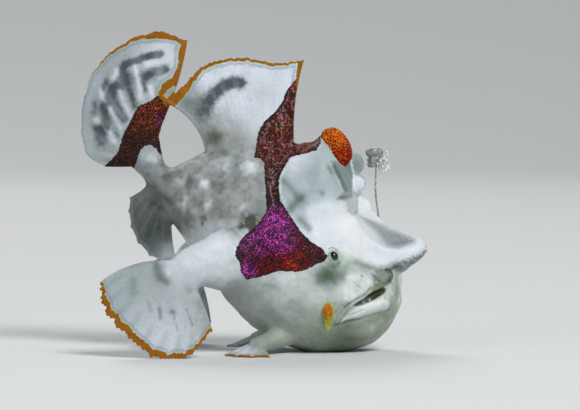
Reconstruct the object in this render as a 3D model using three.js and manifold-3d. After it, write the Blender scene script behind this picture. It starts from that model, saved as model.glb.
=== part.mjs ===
// A warty frogfish, life size, as a still museum model. It squats on its throat, its pelvic fins
// and the tips of its arm-like pectoral fins, with the tail raised.
// Millimetres: +X towards the head, +Y to the fish's own left, +Z up. The floor is at Z = 0.

import * as THREE from 'three';
import Module from 'manifold-3d';
import { mergeVertices } from 'three/addons/utils/BufferGeometryUtils.js';

const wasm = await Module();
wasm.setup();

const GAP = 0.3; // between pieces that touch
const FLOOR_BLOCK = { side: 200, deep: 20 }; // trims the feet flat
const BEYOND = { ahead: 70, behind: -60, above: 80, below: -10, aside: 60 }; // clear of the fish
const SIDES = { right: -1, left: 1 };

// Smooth lines and values

// A smooth line through points of the mid-plane, each [x, z].
const midline = points => new THREE.CatmullRomCurve3(
  points.map(([x, z]) => new THREE.Vector3(x, 0, z)), false, 'catmullrom');

// A smooth line through points of space, each [x, y, z].
const spaceline = points => new THREE.CatmullRomCurve3(
  points.map(p => new THREE.Vector3(...p)), false, 'catmullrom');

// A smooth value through evenly spaced ones.
const profile = values => {
  const line = spaceline(values.map(value => [value, 0, 0]));
  return t => line.getPoint(t).x;
};

// Body sizes. A rib joins a point of the back to one of the belly, snout first.

const BODY = {
  upper: midline([
    [43.8, 21.0], [42.9, 24.9], [40.2, 28.5], [36.0, 32.7], [30.6, 37.5], [24.6, 43.5],
    [18.0, 54.6], [11.4, 60.6], [4.2, 61.8], [-3.6, 61.8], [-10.8, 60.6], [-16.5, 58.9],
    [-21.6, 56.4], [-25.4, 55.2], [-27.5, 58.6], [-28.4, 63.3], [-30.0, 68.4],
  ]),
  lower: midline([
    [44.1, 19.2], [44.1, 14.7], [42.3, 9.9], [39.0, 5.1], [33.6, 1.5], [25.8, -0.4],
    [16.8, -0.4], [7.8, 2.4], [-0.6, 7.5], [-7.8, 15.0], [-14.1, 23.7], [-19.5, 31.5],
    [-24.0, 38.1], [-28.5, 44.4], [-32.7, 49.8], [-35.7, 53.7], [-36.6, 56.4],
  ]),
  halfWidth: profile([
    0.9, 6.3, 9.6, 12.6, 15.6, 18.0, 19.5, 19.8, 18.6, 15.9, 12.9, 9.9, 7.5, 5.4, 3.9, 2.7, 0.9,
  ]),
  topTaper: 0.12,
};
const TAIL_SWING = 7; // how far the tail's tip bends to the fish's left
const TAIL_SWING_FROM = -5; // where along X the bend starts
const TAIL_TIP_X = -52;
const BODY_RINGS = 36;
const BODY_SIDES = 26;

// The second dorsal spine, a thick horn that leans out over the mouth, and the third, a broad
// hump with its tip at the top of its front edge.
const HORN = {
  upper: midline([
    [24.6, 49.2], [30.4, 46.6], [35.0, 42.6], [39.6, 38.4], [44.4, 35.9], [48.0, 34.5],
    [50.4, 33.4], [51.9, 31.9], [52.2, 30.9],
  ]),
  lower: midline([
    [23.7, 24.3], [29.4, 23.7], [34.8, 23.1], [40.2, 23.4], [44.1, 24.1], [47.4, 25.5],
    [50.1, 27.6], [51.9, 29.7], [52.2, 30.6],
  ]),
  halfWidth: profile([13.0, 11.0, 8.4, 6.4, 5.0, 4.0, 3.0, 1.5, 0.3]),
  topTaper: 0.5,
  rings: 13,
  sides: 16,
};
const HUMP = {
  upper: midline([
    [29.4, 34.5], [30.0, 41.7], [29.9, 47.7], [29.6, 52.8], [28.7, 57.0], [26.6, 60.4],
    [23.9, 63.4], [21.6, 65.8],
  ]),
  lower: midline([
    [5.0, 40.0], [4.4, 47.0], [5.6, 53.4], [8.0, 58.2], [11.2, 61.2], [14.6, 62.2],
    [18.0, 62.6], [20.7, 65.6],
  ]),
  halfWidth: profile([14.0, 13.4, 11.8, 9.6, 7.6, 5.8, 3.8, 0.8]),
  topTaper: 0.0,
  rings: 11,
  sides: 18,
};
// A large oval wart on the hump's tip; its long axis leans forward, down and out to the right.
const TIP_WART = { at: [25.0, -2.9, 61.2], size: [3.4, 3.0, 6.5], splay: -0.4, lean: -0.5 };
// A knob on a thin keel at the hump's front, and a soft lobe above it on the far side.
const KNOB = {
  at: [31.4, 1.2, 50.3], size: [2.0, 1.6, 2.1],
  stalk: spaceline([[29.6, 0.6, 40], [30.9, 0.9, 45], [31.4, 1.2, 50.3]]),
  stalkRadius: profile([1.95, 1.3, 1.3]),
};
const FAR_LOBE = { at: [30.2, 2.6, 56.0], size: [3.0, 2.2, 3.6] };

// Face

const MOUTH = [
  [26.4, 13.2], [29.6, 14.8], [33.0, 16.3], [36.1, 17.8], [38.6, 19.8], [40.8, 22.8], [42.6, 25.4],
];
const MOUTH_GAPE = 1.3; // widest opening between the lips
const MOUTH_ACROSS = [-0.45, 0.9]; // from the lower lip to the upper one
const JAW_HINGE_CUT = [[24.6, 6.5], [23.4, -3]]; // from the mouth's corner down the throat
// Each lip is a roll along the mouth's line, raised from it, and thinner towards the corners.
const LIP = { steps: 24, sides: 6, lean: 0.35, cornerShare: 0.45 };
const LIPS = [{ radius: 1.4, raised: -0.75 }, { radius: 0.8, raised: 1.15 }];
const EYE = { at: [23.8, 29.4], radius: 2.2, sunk: 1.1, rim: 0.5, rimOut: 0.9 };
const NOSTRIL = { at: [31.9, 22.9], radius: 0.75, height: 0.5, hole: 0.35, length: 2, taper: 0.85 };
const MOUTH_WART = { at: [21.9, 12.3], size: [1.9, 1.7, 4.2] };

// Cuts that part the body: behind the hump, and where the tail's stalk starts.
const NECK_CUT = [[9.2, 75], [5.2, 45], [0.5, 18], [2.5, -5]];
const TAIL_CUT = [[-21.5, 62], [-33.5, 41]];

// Fishing rod and its lure, which stand up on the far side of the horn.
const ROD = {
  line: spaceline([
    [38.0, 5.6, 22.5], [38.6, 7.5, 31.0], [37.6, 7.4, 39.9], [36.7, 6.2, 47.5], [36.8, 4.6, 56.0],
  ]),
  radius: profile([0.62, 0.4, 0.33, 0.3, 0.3]),
};
// The lure is a small body with a bunch of beaded filaments at its head end.
const LURE = {
  at: [36.2, 4.5, 58.7], size: [2.8, 1.3, 1.5], seed: 6,
  filaments: 8, filament: 0.32, bead: 0.45, shortest: 2.4, longest: 3.4,
  root: 1.2, fan: [-1.75, 0.35], aside: 2.2, sag: 0.4,
};

// Warts, which stand out of the flanks
const WARTS = {
  perSide: 20, smallest: 1.0, largest: 1.8, rise: 0.6, apart: 4.6, sides: 6, rings: 5, seed: 5,
  fromX: -20, toX: 31, fromZ: 12, toZ: 58, thinnestFlank: 6.5,
};
// Where no wart grows, each range of x and z.
const WARTLESS = {
  hump: { x: [8, 40], z: [36, 70] },
  horn: { x: [21, 40], z: [31, 70] },
  mouth: { x: [17, 40], z: [0, 24] },
  neck: { x: [2, 8], z: [0, 70] },
  tail: { x: [-30, -17], z: [0, 50] },
};
const WARTLESS_ROUND = { arm: { at: [-2, 28], radius: 13 }, eye: { at: EYE.at, radius: 7 } };

// Limbs
const ARM = {
  line: side => spaceline([
    [6.0, side * 6, 28.8], [-2.6, side * 14.6, 28.6], [-9.5, side * 19.8, 28.0],
    [-15.5, side * 22.5, 26.9], [-20.0, side * 23.7, 25.4], [-23.6, side * 24.1, 23.9],
  ]),
  tall: profile([7.6, 9.0, 9.0, 6.7, 6.0, 3.0]),
  thick: profile([5.6, 5.8, 5.2, 4.0, 3.0, 1.6]),
};
const LEG = {
  line: side => spaceline([
    [12.0, side * 5, 6.4], [8.4, side * 9.8, 5.2], [4.6, side * 13.4, 3.9], [0.6, side * 16.6, 2.5],
    [-0.8, side * 17.6, 2.1],
  ]),
  tall: profile([3.6, 3.3, 2.7, 2.1, 1.2]),
  thick: profile([3.8, 3.5, 3.2, 3.0, 2.0]),
};

// Fins. Each ray runs from the root line to the tip line, bowed by a share of its length.
const DORSAL = {
  root: midline([[12.3, 58.7], [4.8, 58.3], [-2.7, 58.0], [-9.6, 56.6], [-14.4, 55.6]]),
  tip: midline([[15.0, 87.6], [6.6, 86.7], [-4.2, 88.3], [-14.7, 86.1], [-21.3, 79.8], [-27.3, 75.0]]),
  bow: profile([0.05, 0.02, -0.02, -0.07, -0.17]),
  rays: 12, rows: 6, rootThick: 3.4, edgeThick: 0.5, rayRise: 0.42, notch: 0.012,
  sway: -3.2, swayPower: 3,
};
const CAUDAL = {
  root: midline([[-33.9, 55.2], [-33.3, 59.7], [-31.4, 63.6], [-28.8, 66.0]]),
  tip: midline([
    [-45.0, 55.2], [-50.4, 58.8], [-52.2, 65.7], [-51.9, 73.8], [-49.2, 82.8], [-43.8, 89.4],
    [-36.3, 94.2], [-27.9, 96.1], [-20.1, 93.3],
  ]),
  bow: profile([0, 0, 0.01, 0.02, -0.04]),
  rays: 9, rows: 7, rootThick: 3.2, edgeThick: 0.5, rayRise: 0.5, notch: 0.012,
  sway: 3.4, swayPower: 4,
};
const ANAL = {
  root: midline([[-30.6, 51.2], [-28.6, 49.0], [-26.9, 46.4], [-24.9, 43.8]]),
  tip: midline([[-37.5, 45.9], [-37.8, 40.8], [-36.6, 35.1], [-33.0, 29.7], [-28.2, 26.4], [-23.2, 26.1]]),
  bow: profile([0.05, 0, -0.04]),
  rays: 7, rows: 5, rootThick: 2.8, edgeThick: 0.5, rayRise: 0.4, notch: 0.04,
  sway: 0, swayPower: 1,
};
// The left pectoral fin is a little more closed: its margin is drawn in towards a point below it.
const SPREAD = { [SIDES.right]: 1, [SIDES.left]: 0.84 };
const DRAWN_TO = [-24, -0.45];
const closedIn = ([x, y, z], side) => [
  DRAWN_TO[0] + (x - DRAWN_TO[0]) * SPREAD[side], side * y,
  DRAWN_TO[1] + (z - DRAWN_TO[1]) * SPREAD[side],
];
const PECTORAL = {
  root: side => spaceline([
    [-21.6, side * 23.9, 28.0], [-21.6, side * 24.0, 25.2], [-20.0, side * 24.0, 22.8],
    [-17.4, side * 23.7, 21.6],
  ]),
  tip: side => spaceline([
    [-45.6, 25.0, 21.6], [-43.8, 26.0, 13.4], [-37.2, 27.4, 6.0], [-28.6, 28.6, -0.4],
    [-19.4, 28.4, -0.5], [-11.7, 26.4, 7.6],
  ].map(point => closedIn(point, side))),
  bow: side => profile([-0.11 * SPREAD[side], -0.05, 0, 0.02, 0.03]),
  rays: 10, rows: 6, rootThick: 3.2, edgeThick: 0.6, rayRise: 0.5, notch: 0.025,
  sway: 0, swayPower: 1,
};
const PELVIC = {
  root: side => spaceline([
    [2.6, side * 16.8, 2.6], [0.9, side * 16.0, 2.7], [0.9, side * 14.2, 2.8],
  ]),
  tip: side => spaceline([
    [5.0, side * 24.6, -0.35], [-0.6, side * 25.6, -0.35], [-5.6, side * 23.6, -0.35],
    [-8.6, side * 19.2, -0.35], [-8.6, side * 14.2, -0.35],
  ]),
  bow: profile([0, 0, 0]),
  rays: 5, rows: 5, rootThick: 2.6, edgeThick: 0.7, rayRise: 0.5, notch: 0.12,
  sway: 0, swayPower: 1,
};

const PER_GAP = 3; // steps from one ray to the next
const THINNING = 0.55; // how soon a membrane thins towards its margin
const RIDGE = { from: 0.12, to: 0.9, share: 0.6 }; // where a ray's ridge rises and fades

// Meshes and solids

const UP = new THREE.Vector3(0, 0, 1);

// A closed mesh from points and triangles, turned so that its faces point outwards.
function closedMesh(points, triangles) {
  const volume = triangles.reduce((sum, [a, b, c]) =>
    sum + points[a].dot(points[b].clone().cross(points[c])), 0);
  const outward = volume > 0 ? triangles : triangles.map(([a, b, c]) => [a, c, b]);
  const geometry = new THREE.BufferGeometry().setFromPoints(points);
  return geometry.setIndex(outward.flat());
}

// A skin of rings from one pole to the other, where at(t, angle) gives the surface point.
function ringSkin(rings, sides, at) {
  const points = [at(0, 0).lerp(at(0, Math.PI), 0.5)];
  for (let ring = 1; ring <= rings; ring++)
    for (let side = 0; side < sides; side++)
      points.push(at(ring / (rings + 1), 2 * Math.PI * side / sides));
  points.push(at(1, 0).lerp(at(1, Math.PI), 0.5));
  const place = (ring, side) => 1 + (ring - 1) * sides + side % sides;
  const triangles = [];
  for (let side = 0; side < sides; side++) {
    triangles.push([0, place(1, side + 1), place(1, side)]);
    for (let ring = 1; ring < rings; ring++) {
      const [a, b] = [place(ring, side), place(ring, side + 1)];
      const [c, d] = [place(ring + 1, side + 1), place(ring + 1, side)];
      triangles.push([a, b, c], [a, c, d]);
    }
    triangles.push([points.length - 1, place(rings, side), place(rings, side + 1)]);
  }
  return closedMesh(points, triangles);
}

// How far the body bends to its left at a given x.
function tailSwing(x) {
  const share = THREE.MathUtils.clamp((TAIL_SWING_FROM - x) / (TAIL_SWING_FROM - TAIL_TIP_X), 0, 1.2);
  return TAIL_SWING * share ** 1.6;
}

// A point of a ribbed form: each rib is an egg-shaped ring between its upper and lower edge.
function ribPoint({ upper, lower, halfWidth, topTaper }, t, angle) {
  const top = upper.getPoint(t);
  const bottom = lower.getPoint(t);
  const point = bottom.clone().lerp(top, (1 + Math.cos(angle)) / 2);
  point.y = halfWidth(t) * (1 - topTaper * Math.cos(angle)) * Math.sin(angle) + tailSwing(point.x);
  return point;
}

// A point of a limb: an oval ring round a line, tall in the plane of the line and upright.
function limbPoint(line, tall, thick, t, angle) {
  const along = line.getTangent(t);
  const across = along.clone().cross(UP).normalize();
  const upright = across.clone().cross(along);
  return line.getPoint(t)
    .addScaledVector(upright, tall(t) * Math.cos(angle))
    .addScaledVector(across, thick(t) * Math.sin(angle));
}

const limbSkin = (line, tall, thick, rings, sides) =>
  ringSkin(rings, sides, (t, angle) => limbPoint(line, tall, thick, t, angle));

// One of the library's own shapes as points and triangles alone, with no vertex twice.
function bare(geometry) {
  geometry.deleteAttribute('normal');
  geometry.deleteAttribute('uv');
  return mergeVertices(geometry, 1e-4);
}

// An egg: a sphere stretched along the axes, then turned about X and leant about Y.
const blobSkin = (at, size, sides = 10, rings = 7, splay = 0, lean = 0) =>
  bare(new THREE.SphereGeometry(1, sides, rings))
    .rotateX(Math.PI / 2).scale(...size).rotateX(splay).rotateY(lean).translate(...at);

// A fin as one thin closed mesh: two faces with a ridge on each ray, and a rim round them.
function finSkin(fin, follow) {
  const { root, tip, bow, rays, rows, rootThick, edgeThick, rayRise, notch, sway, swayPower } = fin;
  const columns = (rays - 1) * PER_GAP;
  const ridge = u => ((1 + Math.cos(2 * Math.PI * u * (rays - 1))) / 2) ** 2;
  const middle = (u, v) => {
    const from = root.getPoint(u);
    const ray = tip.getPoint(u).sub(from);
    const bulge = new THREE.Vector3(-ray.z, 0, ray.x).multiplyScalar(2 * v * (1 - v) * 2 * bow(u));
    const reach = v * (1 - notch * (1 - ridge(u)) * v);
    const point = from.addScaledVector(ray, reach).add(bulge);
    return point.add(new THREE.Vector3(0, follow(point) + sway * v * u ** swayPower, 0));
  };
  const step = 0.01;
  const facing = (u, v) => {
    const alongU = middle(Math.min(u + step, 1), v).sub(middle(Math.max(u - step, 0), v));
    const alongV = middle(u, Math.min(v + step, 1)).sub(middle(u, Math.max(v - step, 0)));
    return alongU.cross(alongV).normalize();
  };
  const halfThick = (u, v) => {
    const web = THREE.MathUtils.lerp(rootThick, edgeThick, v ** THINNING) / 2;
    const fade = Math.sin(Math.PI * Math.min(v + RIDGE.from, RIDGE.to));
    return web + rayRise * ridge(u) * fade * RIDGE.share;
  };
  const faces = [1, -1].map(face => {
    const points = [];
    for (let i = 0; i <= columns; i++)
      for (let j = 0; j <= rows; j++) {
        const [u, v] = [i / columns, j / rows];
        points.push(middle(u, v).addScaledVector(facing(u, v), face * halfThick(u, v)));
      }
    return points;
  });
  const count = faces[0].length;
  const place = (i, j, face) => i * (rows + 1) + j + face * count;
  const triangles = [];
  const quad = (a, b, c, d) => triangles.push([a, b, c], [a, c, d]);
  for (let i = 0; i < columns; i++)
    for (let j = 0; j < rows; j++) {
      const corners = face => [
        place(i, j, face), place(i + 1, j, face), place(i + 1, j + 1, face), place(i, j + 1, face)];
      const [a, b, c, d] = corners(0);
      quad(a, b, c, d);
      const [e, f, g, h] = corners(1);
      triangles.push([e, g, f], [e, h, g]);
    }
  for (let i = 0; i < columns; i++) {
    quad(place(i, 0, 1), place(i + 1, 0, 1), place(i + 1, 0, 0), place(i, 0, 0));
    quad(place(i, rows, 0), place(i + 1, rows, 0), place(i + 1, rows, 1), place(i, rows, 1));
  }
  for (let j = 0; j < rows; j++) {
    quad(place(0, j, 0), place(0, j + 1, 0), place(0, j + 1, 1), place(0, j, 1));
    quad(place(columns, j, 1), place(columns, j + 1, 1), place(columns, j + 1, 0), place(columns, j, 0));
  }
  return closedMesh([...faces[0], ...faces[1]], triangles);
}

// The same mesh with every point moved out along its normal.
function grown(geometry, by) {
  const copy = geometry.clone();
  copy.computeVertexNormals();
  const { position, normal } = copy.attributes;
  for (let i = 0; i < position.count; i++)
    position.setXYZ(i, position.getX(i) + by * normal.getX(i),
      position.getY(i) + by * normal.getY(i), position.getZ(i) + by * normal.getZ(i));
  return copy;
}

const solid = geometry => new wasm.Manifold(new wasm.Mesh({
  numProp: 3,
  vertProperties: new Float32Array(geometry.attributes.position.array),
  triVerts: new Uint32Array(geometry.index.array),
}));

const joined = geometries => geometries.map(solid).reduce((all, next) => all.add(next));
const clearOf = geometries => joined(geometries.map(geometry => grown(geometry, GAP)));

// The largest closed surface of a solid, without what a cut left loose.
const largest = shape => shape.decompose().reduce((most, next) =>
  next.volume() > most.volume() ? next : most);

// A prism across the whole fish over an outline of the mid-plane, each point [x, z].
function prism(outline) {
  const shape = new THREE.Shape(outline.map(([x, z]) => new THREE.Vector2(x, z)));
  const geometry = new THREE.ExtrudeGeometry(shape, { depth: 2 * BEYOND.aside, bevelEnabled: false });
  return solid(bare(geometry).rotateX(Math.PI / 2).translate(0, BEYOND.aside, 0));
}

const floorBlock = () => solid(
  bare(new THREE.BoxGeometry(FLOOR_BLOCK.side, FLOOR_BLOCK.side, FLOOR_BLOCK.deep))
    .translate(0, 0, -FLOOR_BLOCK.deep / 2));

// The body's flank: its half width over a point of the mid-plane, and which way it faces there.

function flank(x, z) {
  const point = new THREE.Vector3(x, 0, z);
  const across = t => {
    const top = BODY.upper.getPoint(t);
    const rib = BODY.lower.getPoint(t).sub(top);
    return rib.cross(point.clone().sub(top)).y;
  };
  let [low, high] = [0.004, 0.996];
  const start = Math.sign(across(low));
  for (let round = 0; round < 26; round++) {
    const t = (low + high) / 2;
    if (Math.sign(across(t)) === start) low = t;
    else high = t;
  }
  const t = (low + high) / 2;
  const top = BODY.upper.getPoint(t);
  const rib = BODY.lower.getPoint(t).sub(top);
  const down = THREE.MathUtils.clamp(point.sub(top).dot(rib) / rib.lengthSq(), 0.0005, 0.9995);
  const cos = 1 - 2 * down;
  return BODY.halfWidth(t) * (1 - BODY.topTaper * cos) * Math.sqrt(1 - cos * cos);
}

function flankFacing(x, z, side) {
  const step = 0.4;
  const slopeX = (flank(x + step, z) - flank(x - step, z)) / (2 * step);
  const slopeZ = (flank(x, z + step) - flank(x, z - step)) / (2 * step);
  return new THREE.Vector3(-slopeX, side, -slopeZ).normalize();
}

const onFlank = ([x, z], side) => new THREE.Vector3(x, side * flank(x, z) + tailSwing(x), z);

// The same numbers in every run.
function seededRandom(seed) {
  let state = seed;
  return () => {
    state = (state * 16807) % 2147483647;
    return state / 2147483647;
  };
}

// Body pieces

const bodySkin = ringSkin(BODY_RINGS, BODY_SIDES, (t, angle) => ribPoint(BODY, t, angle));
const humpSkin = ringSkin(HUMP.rings, HUMP.sides, (t, angle) => ribPoint(HUMP, t, angle));
const hornSkin = ringSkin(HORN.rings, HORN.sides, (t, angle) => ribPoint(HORN, t, angle));

function wartFits(x, z, placed) {
  const inside = ({ x: [x0, x1], z: [z0, z1] }) => x > x0 && x < x1 && z > z0 && z < z1;
  const near = ([a, b], distance) => Math.hypot(x - a, z - b) < distance;
  return !Object.values(WARTLESS).some(inside)
    && !Object.values(WARTLESS_ROUND).some(({ at, radius }) => near(at, radius))
    && !placed.some(at => near(at, WARTS.apart))
    && flank(x, z) > WARTS.thinnestFlank;
}

// A low dome on the flank.
function wartSkin(x, z, side, radius) {
  const turn = new THREE.Quaternion().setFromUnitVectors(UP, flankFacing(x, z, side));
  const at = onFlank([x, z], side);
  return bare(new THREE.SphereGeometry(radius, WARTS.sides, WARTS.rings))
    .rotateX(Math.PI / 2).scale(1, 1, WARTS.rise).applyQuaternion(turn).translate(at.x, at.y, at.z);
}

function wartSkins() {
  const random = seededRandom(WARTS.seed);
  const between = (low, high) => low + (high - low) * random();
  const warts = [];
  for (const side of Object.values(SIDES)) {
    const placed = [];
    while (placed.length < WARTS.perSide) {
      const x = between(WARTS.fromX, WARTS.toX);
      const z = between(WARTS.fromZ, WARTS.toZ);
      const radius = between(WARTS.smallest, WARTS.largest);
      if (!wartFits(x, z, placed)) continue;
      warts.push(wartSkin(x, z, side, radius));
      placed.push([x, z]);
    }
  }
  return warts;
}

// A lip: a tube along the mouth's line from the right corner round the front to the left.
function lipSkin({ radius, raised }) {
  const slit = midline(MOUTH);
  const half = LIP.steps / 2;
  const points = [];
  for (let i = -half; i <= half; i++) {
    const at = slit.getPoint(1 - Math.abs(i) / half);
    const side = Math.sign(i) || 1;
    const width = i === 0 ? 0 : flank(at.x, at.z);
    points.push([at.x + raised * LIP.lean, side * width, at.z + raised]);
  }
  const line = spaceline(points);
  const size = t => radius * THREE.MathUtils.lerp(LIP.cornerShare, 1, Math.sin(Math.PI * t) ** 0.7);
  return limbSkin(line, size, size, LIP.steps, LIP.sides);
}

function mouthOutline(raise) {
  const slit = midline(MOUTH);
  const steps = 10;
  const line = [];
  for (let i = 0; i <= steps; i++) {
    const at = slit.getPoint(i / steps);
    const open = raise * (GAP + (MOUTH_GAPE - GAP) * Math.sin(Math.PI * 0.5 * i / steps) ** 0.8);
    line.push([at.x + MOUTH_ACROSS[0] * open, at.z + MOUTH_ACROSS[1] * open]);
  }
  return line;
}

const JAW_FRONT = [50, 31]; // clear of the jaw, before and above it

// The lower jaw's side view; grown outlines leave the gape and the throat's thin cut.
function jawOutline(spread) {
  const back = JAW_HINGE_CUT.map(([x, z]) => [x - GAP * spread, z]).reverse();
  const { ahead, below } = BEYOND;
  return [...mouthOutline(spread), JAW_FRONT, [ahead, JAW_FRONT[1]], [ahead, below], ...back];
}

const eyeCentre = side => onFlank(EYE.at, side)
  .addScaledVector(flankFacing(...EYE.at, side), -EYE.sunk);

function eyeRimSkin(side) {
  const facing = flankFacing(...EYE.at, side);
  const turn = new THREE.Quaternion().setFromUnitVectors(UP, facing);
  const at = eyeCentre(side).addScaledVector(facing, EYE.rimOut);
  return bare(new THREE.TorusGeometry(EYE.radius, EYE.rim, 6, 16))
    .applyQuaternion(turn).translate(at.x, at.y, at.z);
}

function nostrilSolid(side) {
  const facing = flankFacing(...NOSTRIL.at, side);
  const turn = new THREE.Quaternion().setFromUnitVectors(new THREE.Vector3(0, 1, 0), facing);
  const at = onFlank(NOSTRIL.at, side);
  const tube = (radius, out) => solid(
    bare(new THREE.CylinderGeometry(radius * NOSTRIL.taper, radius, NOSTRIL.length, 8))
      .translate(0, out, 0).applyQuaternion(turn).translate(at.x, at.y, at.z));
  return {
    rim: tube(NOSTRIL.radius, NOSTRIL.height - NOSTRIL.length / 2),
    hole: tube(NOSTRIL.hole, NOSTRIL.height),
  };
}

function mouthWartSkin(side) {
  const at = onFlank(MOUTH_WART.at, side);
  return blobSkin([at.x, at.y, at.z], MOUTH_WART.size, 10, 8);
}

// The whole body in one, then its parts

const floor = floorBlock();
const sides = Object.values(SIDES);
const nostrils = sides.map(nostrilSolid);
const skins = [bodySkin, ...wartSkins(), ...sides.map(eyeRimSkin)];
const lips = LIPS.map(lipSkin);
const wholeBody = joined([...skins, ...lips])
  .add(nostrils[0].rim).add(nostrils[1].rim)
  .subtract(nostrils[0].hole).subtract(nostrils[1].hole)
  .subtract(floor);

const shifted = (line, by) => line.map(([x, z]) => [x + by, z]);
const { ahead, behind, above, below } = BEYOND;
const headBlock = prism([...shifted(NECK_CUT, GAP / 2), [ahead, below], [ahead, above]]);
const tailBlock = prism([
  [behind, above], [TAIL_CUT[0][0] - GAP / 2, above], ...shifted(TAIL_CUT, -GAP / 2),
  [behind, TAIL_CUT[1][1]]]);
const torsoBlock = prism([
  [TAIL_CUT[0][0] + GAP / 2, above], ...shifted(NECK_CUT, -GAP / 2), [TAIL_CUT[1][0], below],
  ...shifted(TAIL_CUT, GAP / 2).reverse()]);

const eyeSkin = side => {
  const at = eyeCentre(side);
  return blobSkin([at.x, at.y, at.z], [EYE.radius, EYE.radius, EYE.radius], 14, 10);
};
const sockets = clearOf(sides.map(eyeSkin));

const head = wholeBody.intersect(headBlock).subtract(prism(jawOutline(1))).subtract(sockets);
const lowerJaw = wholeBody.intersect(prism(jawOutline(0)));
const torso = wholeBody.intersect(torsoBlock);
const tail = wholeBody.intersect(tailBlock);

// Spines, rod and lure

const roundBody = clearOf([bodySkin]);
const humpSkins = [
  humpSkin,
  limbSkin(KNOB.stalk, KNOB.stalkRadius, KNOB.stalkRadius, 4, 8),
  blobSkin(KNOB.at, KNOB.size),
  blobSkin(FAR_LOBE.at, FAR_LOBE.size, 12, 8),
];
const thirdSpine = joined(humpSkins).subtract(clearOf([bodySkin, hornSkin]));
const secondSpine = solid(hornSkin).subtract(clearOf([bodySkin, ...lips]));

const rodSkin = limbSkin(ROD.line, ROD.radius, ROD.radius, 16, 6);

function lureSkins() {
  const made = [blobSkin(LURE.at, LURE.size, 8, 6)];
  const random = seededRandom(LURE.seed);
  const [x, y, z] = LURE.at;
  for (let i = 0; i < LURE.filaments; i++) {
    const turn = THREE.MathUtils.lerp(...LURE.fan, i / (LURE.filaments - 1));
    const length = THREE.MathUtils.lerp(LURE.shortest, LURE.longest, random());
    const aside = (random() - 0.5) * LURE.aside;
    const from = [x + LURE.root, y + aside / 5, z - LURE.sag / 2 + LURE.sag * Math.sin(turn)];
    const to = [from[0] + length * Math.cos(turn), from[1] + aside, from[2] + length * Math.sin(turn)];
    const bend = [(from[0] + to[0]) / 2, (from[1] + to[1]) / 2, (from[2] + to[2]) / 2 + LURE.sag];
    const size = () => LURE.filament;
    made.push(limbSkin(spaceline([from, bend, to]), size, size, 3, 5));
    made.push(blobSkin(to, [LURE.bead, LURE.bead, LURE.bead], 5, 4));
  }
  return made;
}

const tipWartSkin = blobSkin(TIP_WART.at, TIP_WART.size, 14, 10, TIP_WART.splay, TIP_WART.lean);
const tipWart = solid(tipWartSkin).subtract(clearOf(humpSkins));

const illicium = solid(rodSkin).subtract(clearOf([bodySkin, hornSkin]));
const esca = joined(lureSkins()).subtract(clearOf([rodSkin]));

// Fins of the mid-plane, which follow the tail's bend

const follow = point => tailSwing(point.x);
const dorsal = solid(finSkin(DORSAL, follow)).subtract(clearOf([bodySkin, ...humpSkins]));
const caudal = solid(finSkin(CAUDAL, follow)).subtract(roundBody);
const anal = solid(finSkin(ANAL, follow)).subtract(roundBody);

// Paired limbs and fins

const level = () => 0;

function limbs(side) {
  const armSkin = limbSkin(ARM.line(side), ARM.tall, ARM.thick, 12, 16);
  const pectoralShape = {
    ...PECTORAL, root: PECTORAL.root(side), tip: PECTORAL.tip(side), bow: PECTORAL.bow(side),
  };
  const legSkin = limbSkin(LEG.line(side), LEG.tall, LEG.thick, 5, 10);
  const pelvicShape = { ...PELVIC, root: PELVIC.root(side), tip: PELVIC.tip(side) };
  return {
    arm: solid(armSkin).subtract(roundBody),
    pectoral: solid(finSkin(pectoralShape, level)).subtract(clearOf([armSkin])).subtract(floor),
    mouthWart: solid(mouthWartSkin(side)).subtract(roundBody),
    pelvic: joined([legSkin, finSkin(pelvicShape, level)]).subtract(roundBody).subtract(floor),
  };
}

// Materials

const finish = (color, roughness) => new THREE.MeshStandardMaterial({ color, roughness, metalness: 0 });
const FINISHES = {
  skin: finish(0xdfe6e6, 0.5),
  redBrown: finish(0x7a3a24, 0.5),
  chin: finish(0xb9c3ba, 0.5),
  hump: finish(0xd9e2e4, 0.5),
  fin: finish(0xe6ecee, 0.45),
  wart: finish(0xc85a12, 0.5),
  rod: finish(0xb4b6a6, 0.55),
  lure: finish(0xc8cdc2, 0.5),
  eye: finish(0x10130f, 0.08),
};

// The model

const frogfish = new THREE.Group();

function addPart(name, shape, material) {
  const mesh = largest(shape).getMesh();
  const geometry = new THREE.BufferGeometry()
    .setAttribute('position', new THREE.BufferAttribute(new Float32Array(mesh.vertProperties), 3))
    .setIndex(new THREE.BufferAttribute(new Uint32Array(mesh.triVerts), 1));
  const part = new THREE.Mesh(geometry, material);
  part.name = name;
  frogfish.add(part);
}

addPart('head', head, FINISHES.skin);
addPart('lower_jaw', lowerJaw, FINISHES.chin);
addPart('torso', torso, FINISHES.skin);
addPart('tail', tail, FINISHES.redBrown);
addPart('second_dorsal_spine', secondSpine, FINISHES.skin);
addPart('third_dorsal_spine', thirdSpine, FINISHES.hump);
addPart('spine_tip_wart', tipWart, FINISHES.wart);
addPart('illicium', illicium, FINISHES.rod);
addPart('esca', esca, FINISHES.lure);
addPart('dorsal_fin', dorsal, FINISHES.fin);
addPart('caudal_fin', caudal, FINISHES.fin);
addPart('anal_fin', anal, FINISHES.fin);
for (const [label, side] of Object.entries(SIDES)) {
  const { arm, pectoral, pelvic, mouthWart } = limbs(side);
  addPart(`pectoral_arm_${label}`, arm, FINISHES.skin);
  addPart(`pectoral_fin_${label}`, pectoral, FINISHES.fin);
  addPart(`pelvic_fin_${label}`, pelvic, FINISHES.fin);
  addPart(`mouth_wart_${label}`, mouthWart, FINISHES.wart);
  addPart(`eye_${label}`, solid(eyeSkin(side)), FINISHES.eye);
}

// The origin is under the middle of the whole fish, on the floor.
const box = new THREE.Box3().setFromObject(frogfish);
for (const part of frogfish.children)
  part.position.set(-(box.min.x + box.max.x) / 2, -(box.min.y + box.max.y) / 2, -box.min.z);

export default frogfish;
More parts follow.
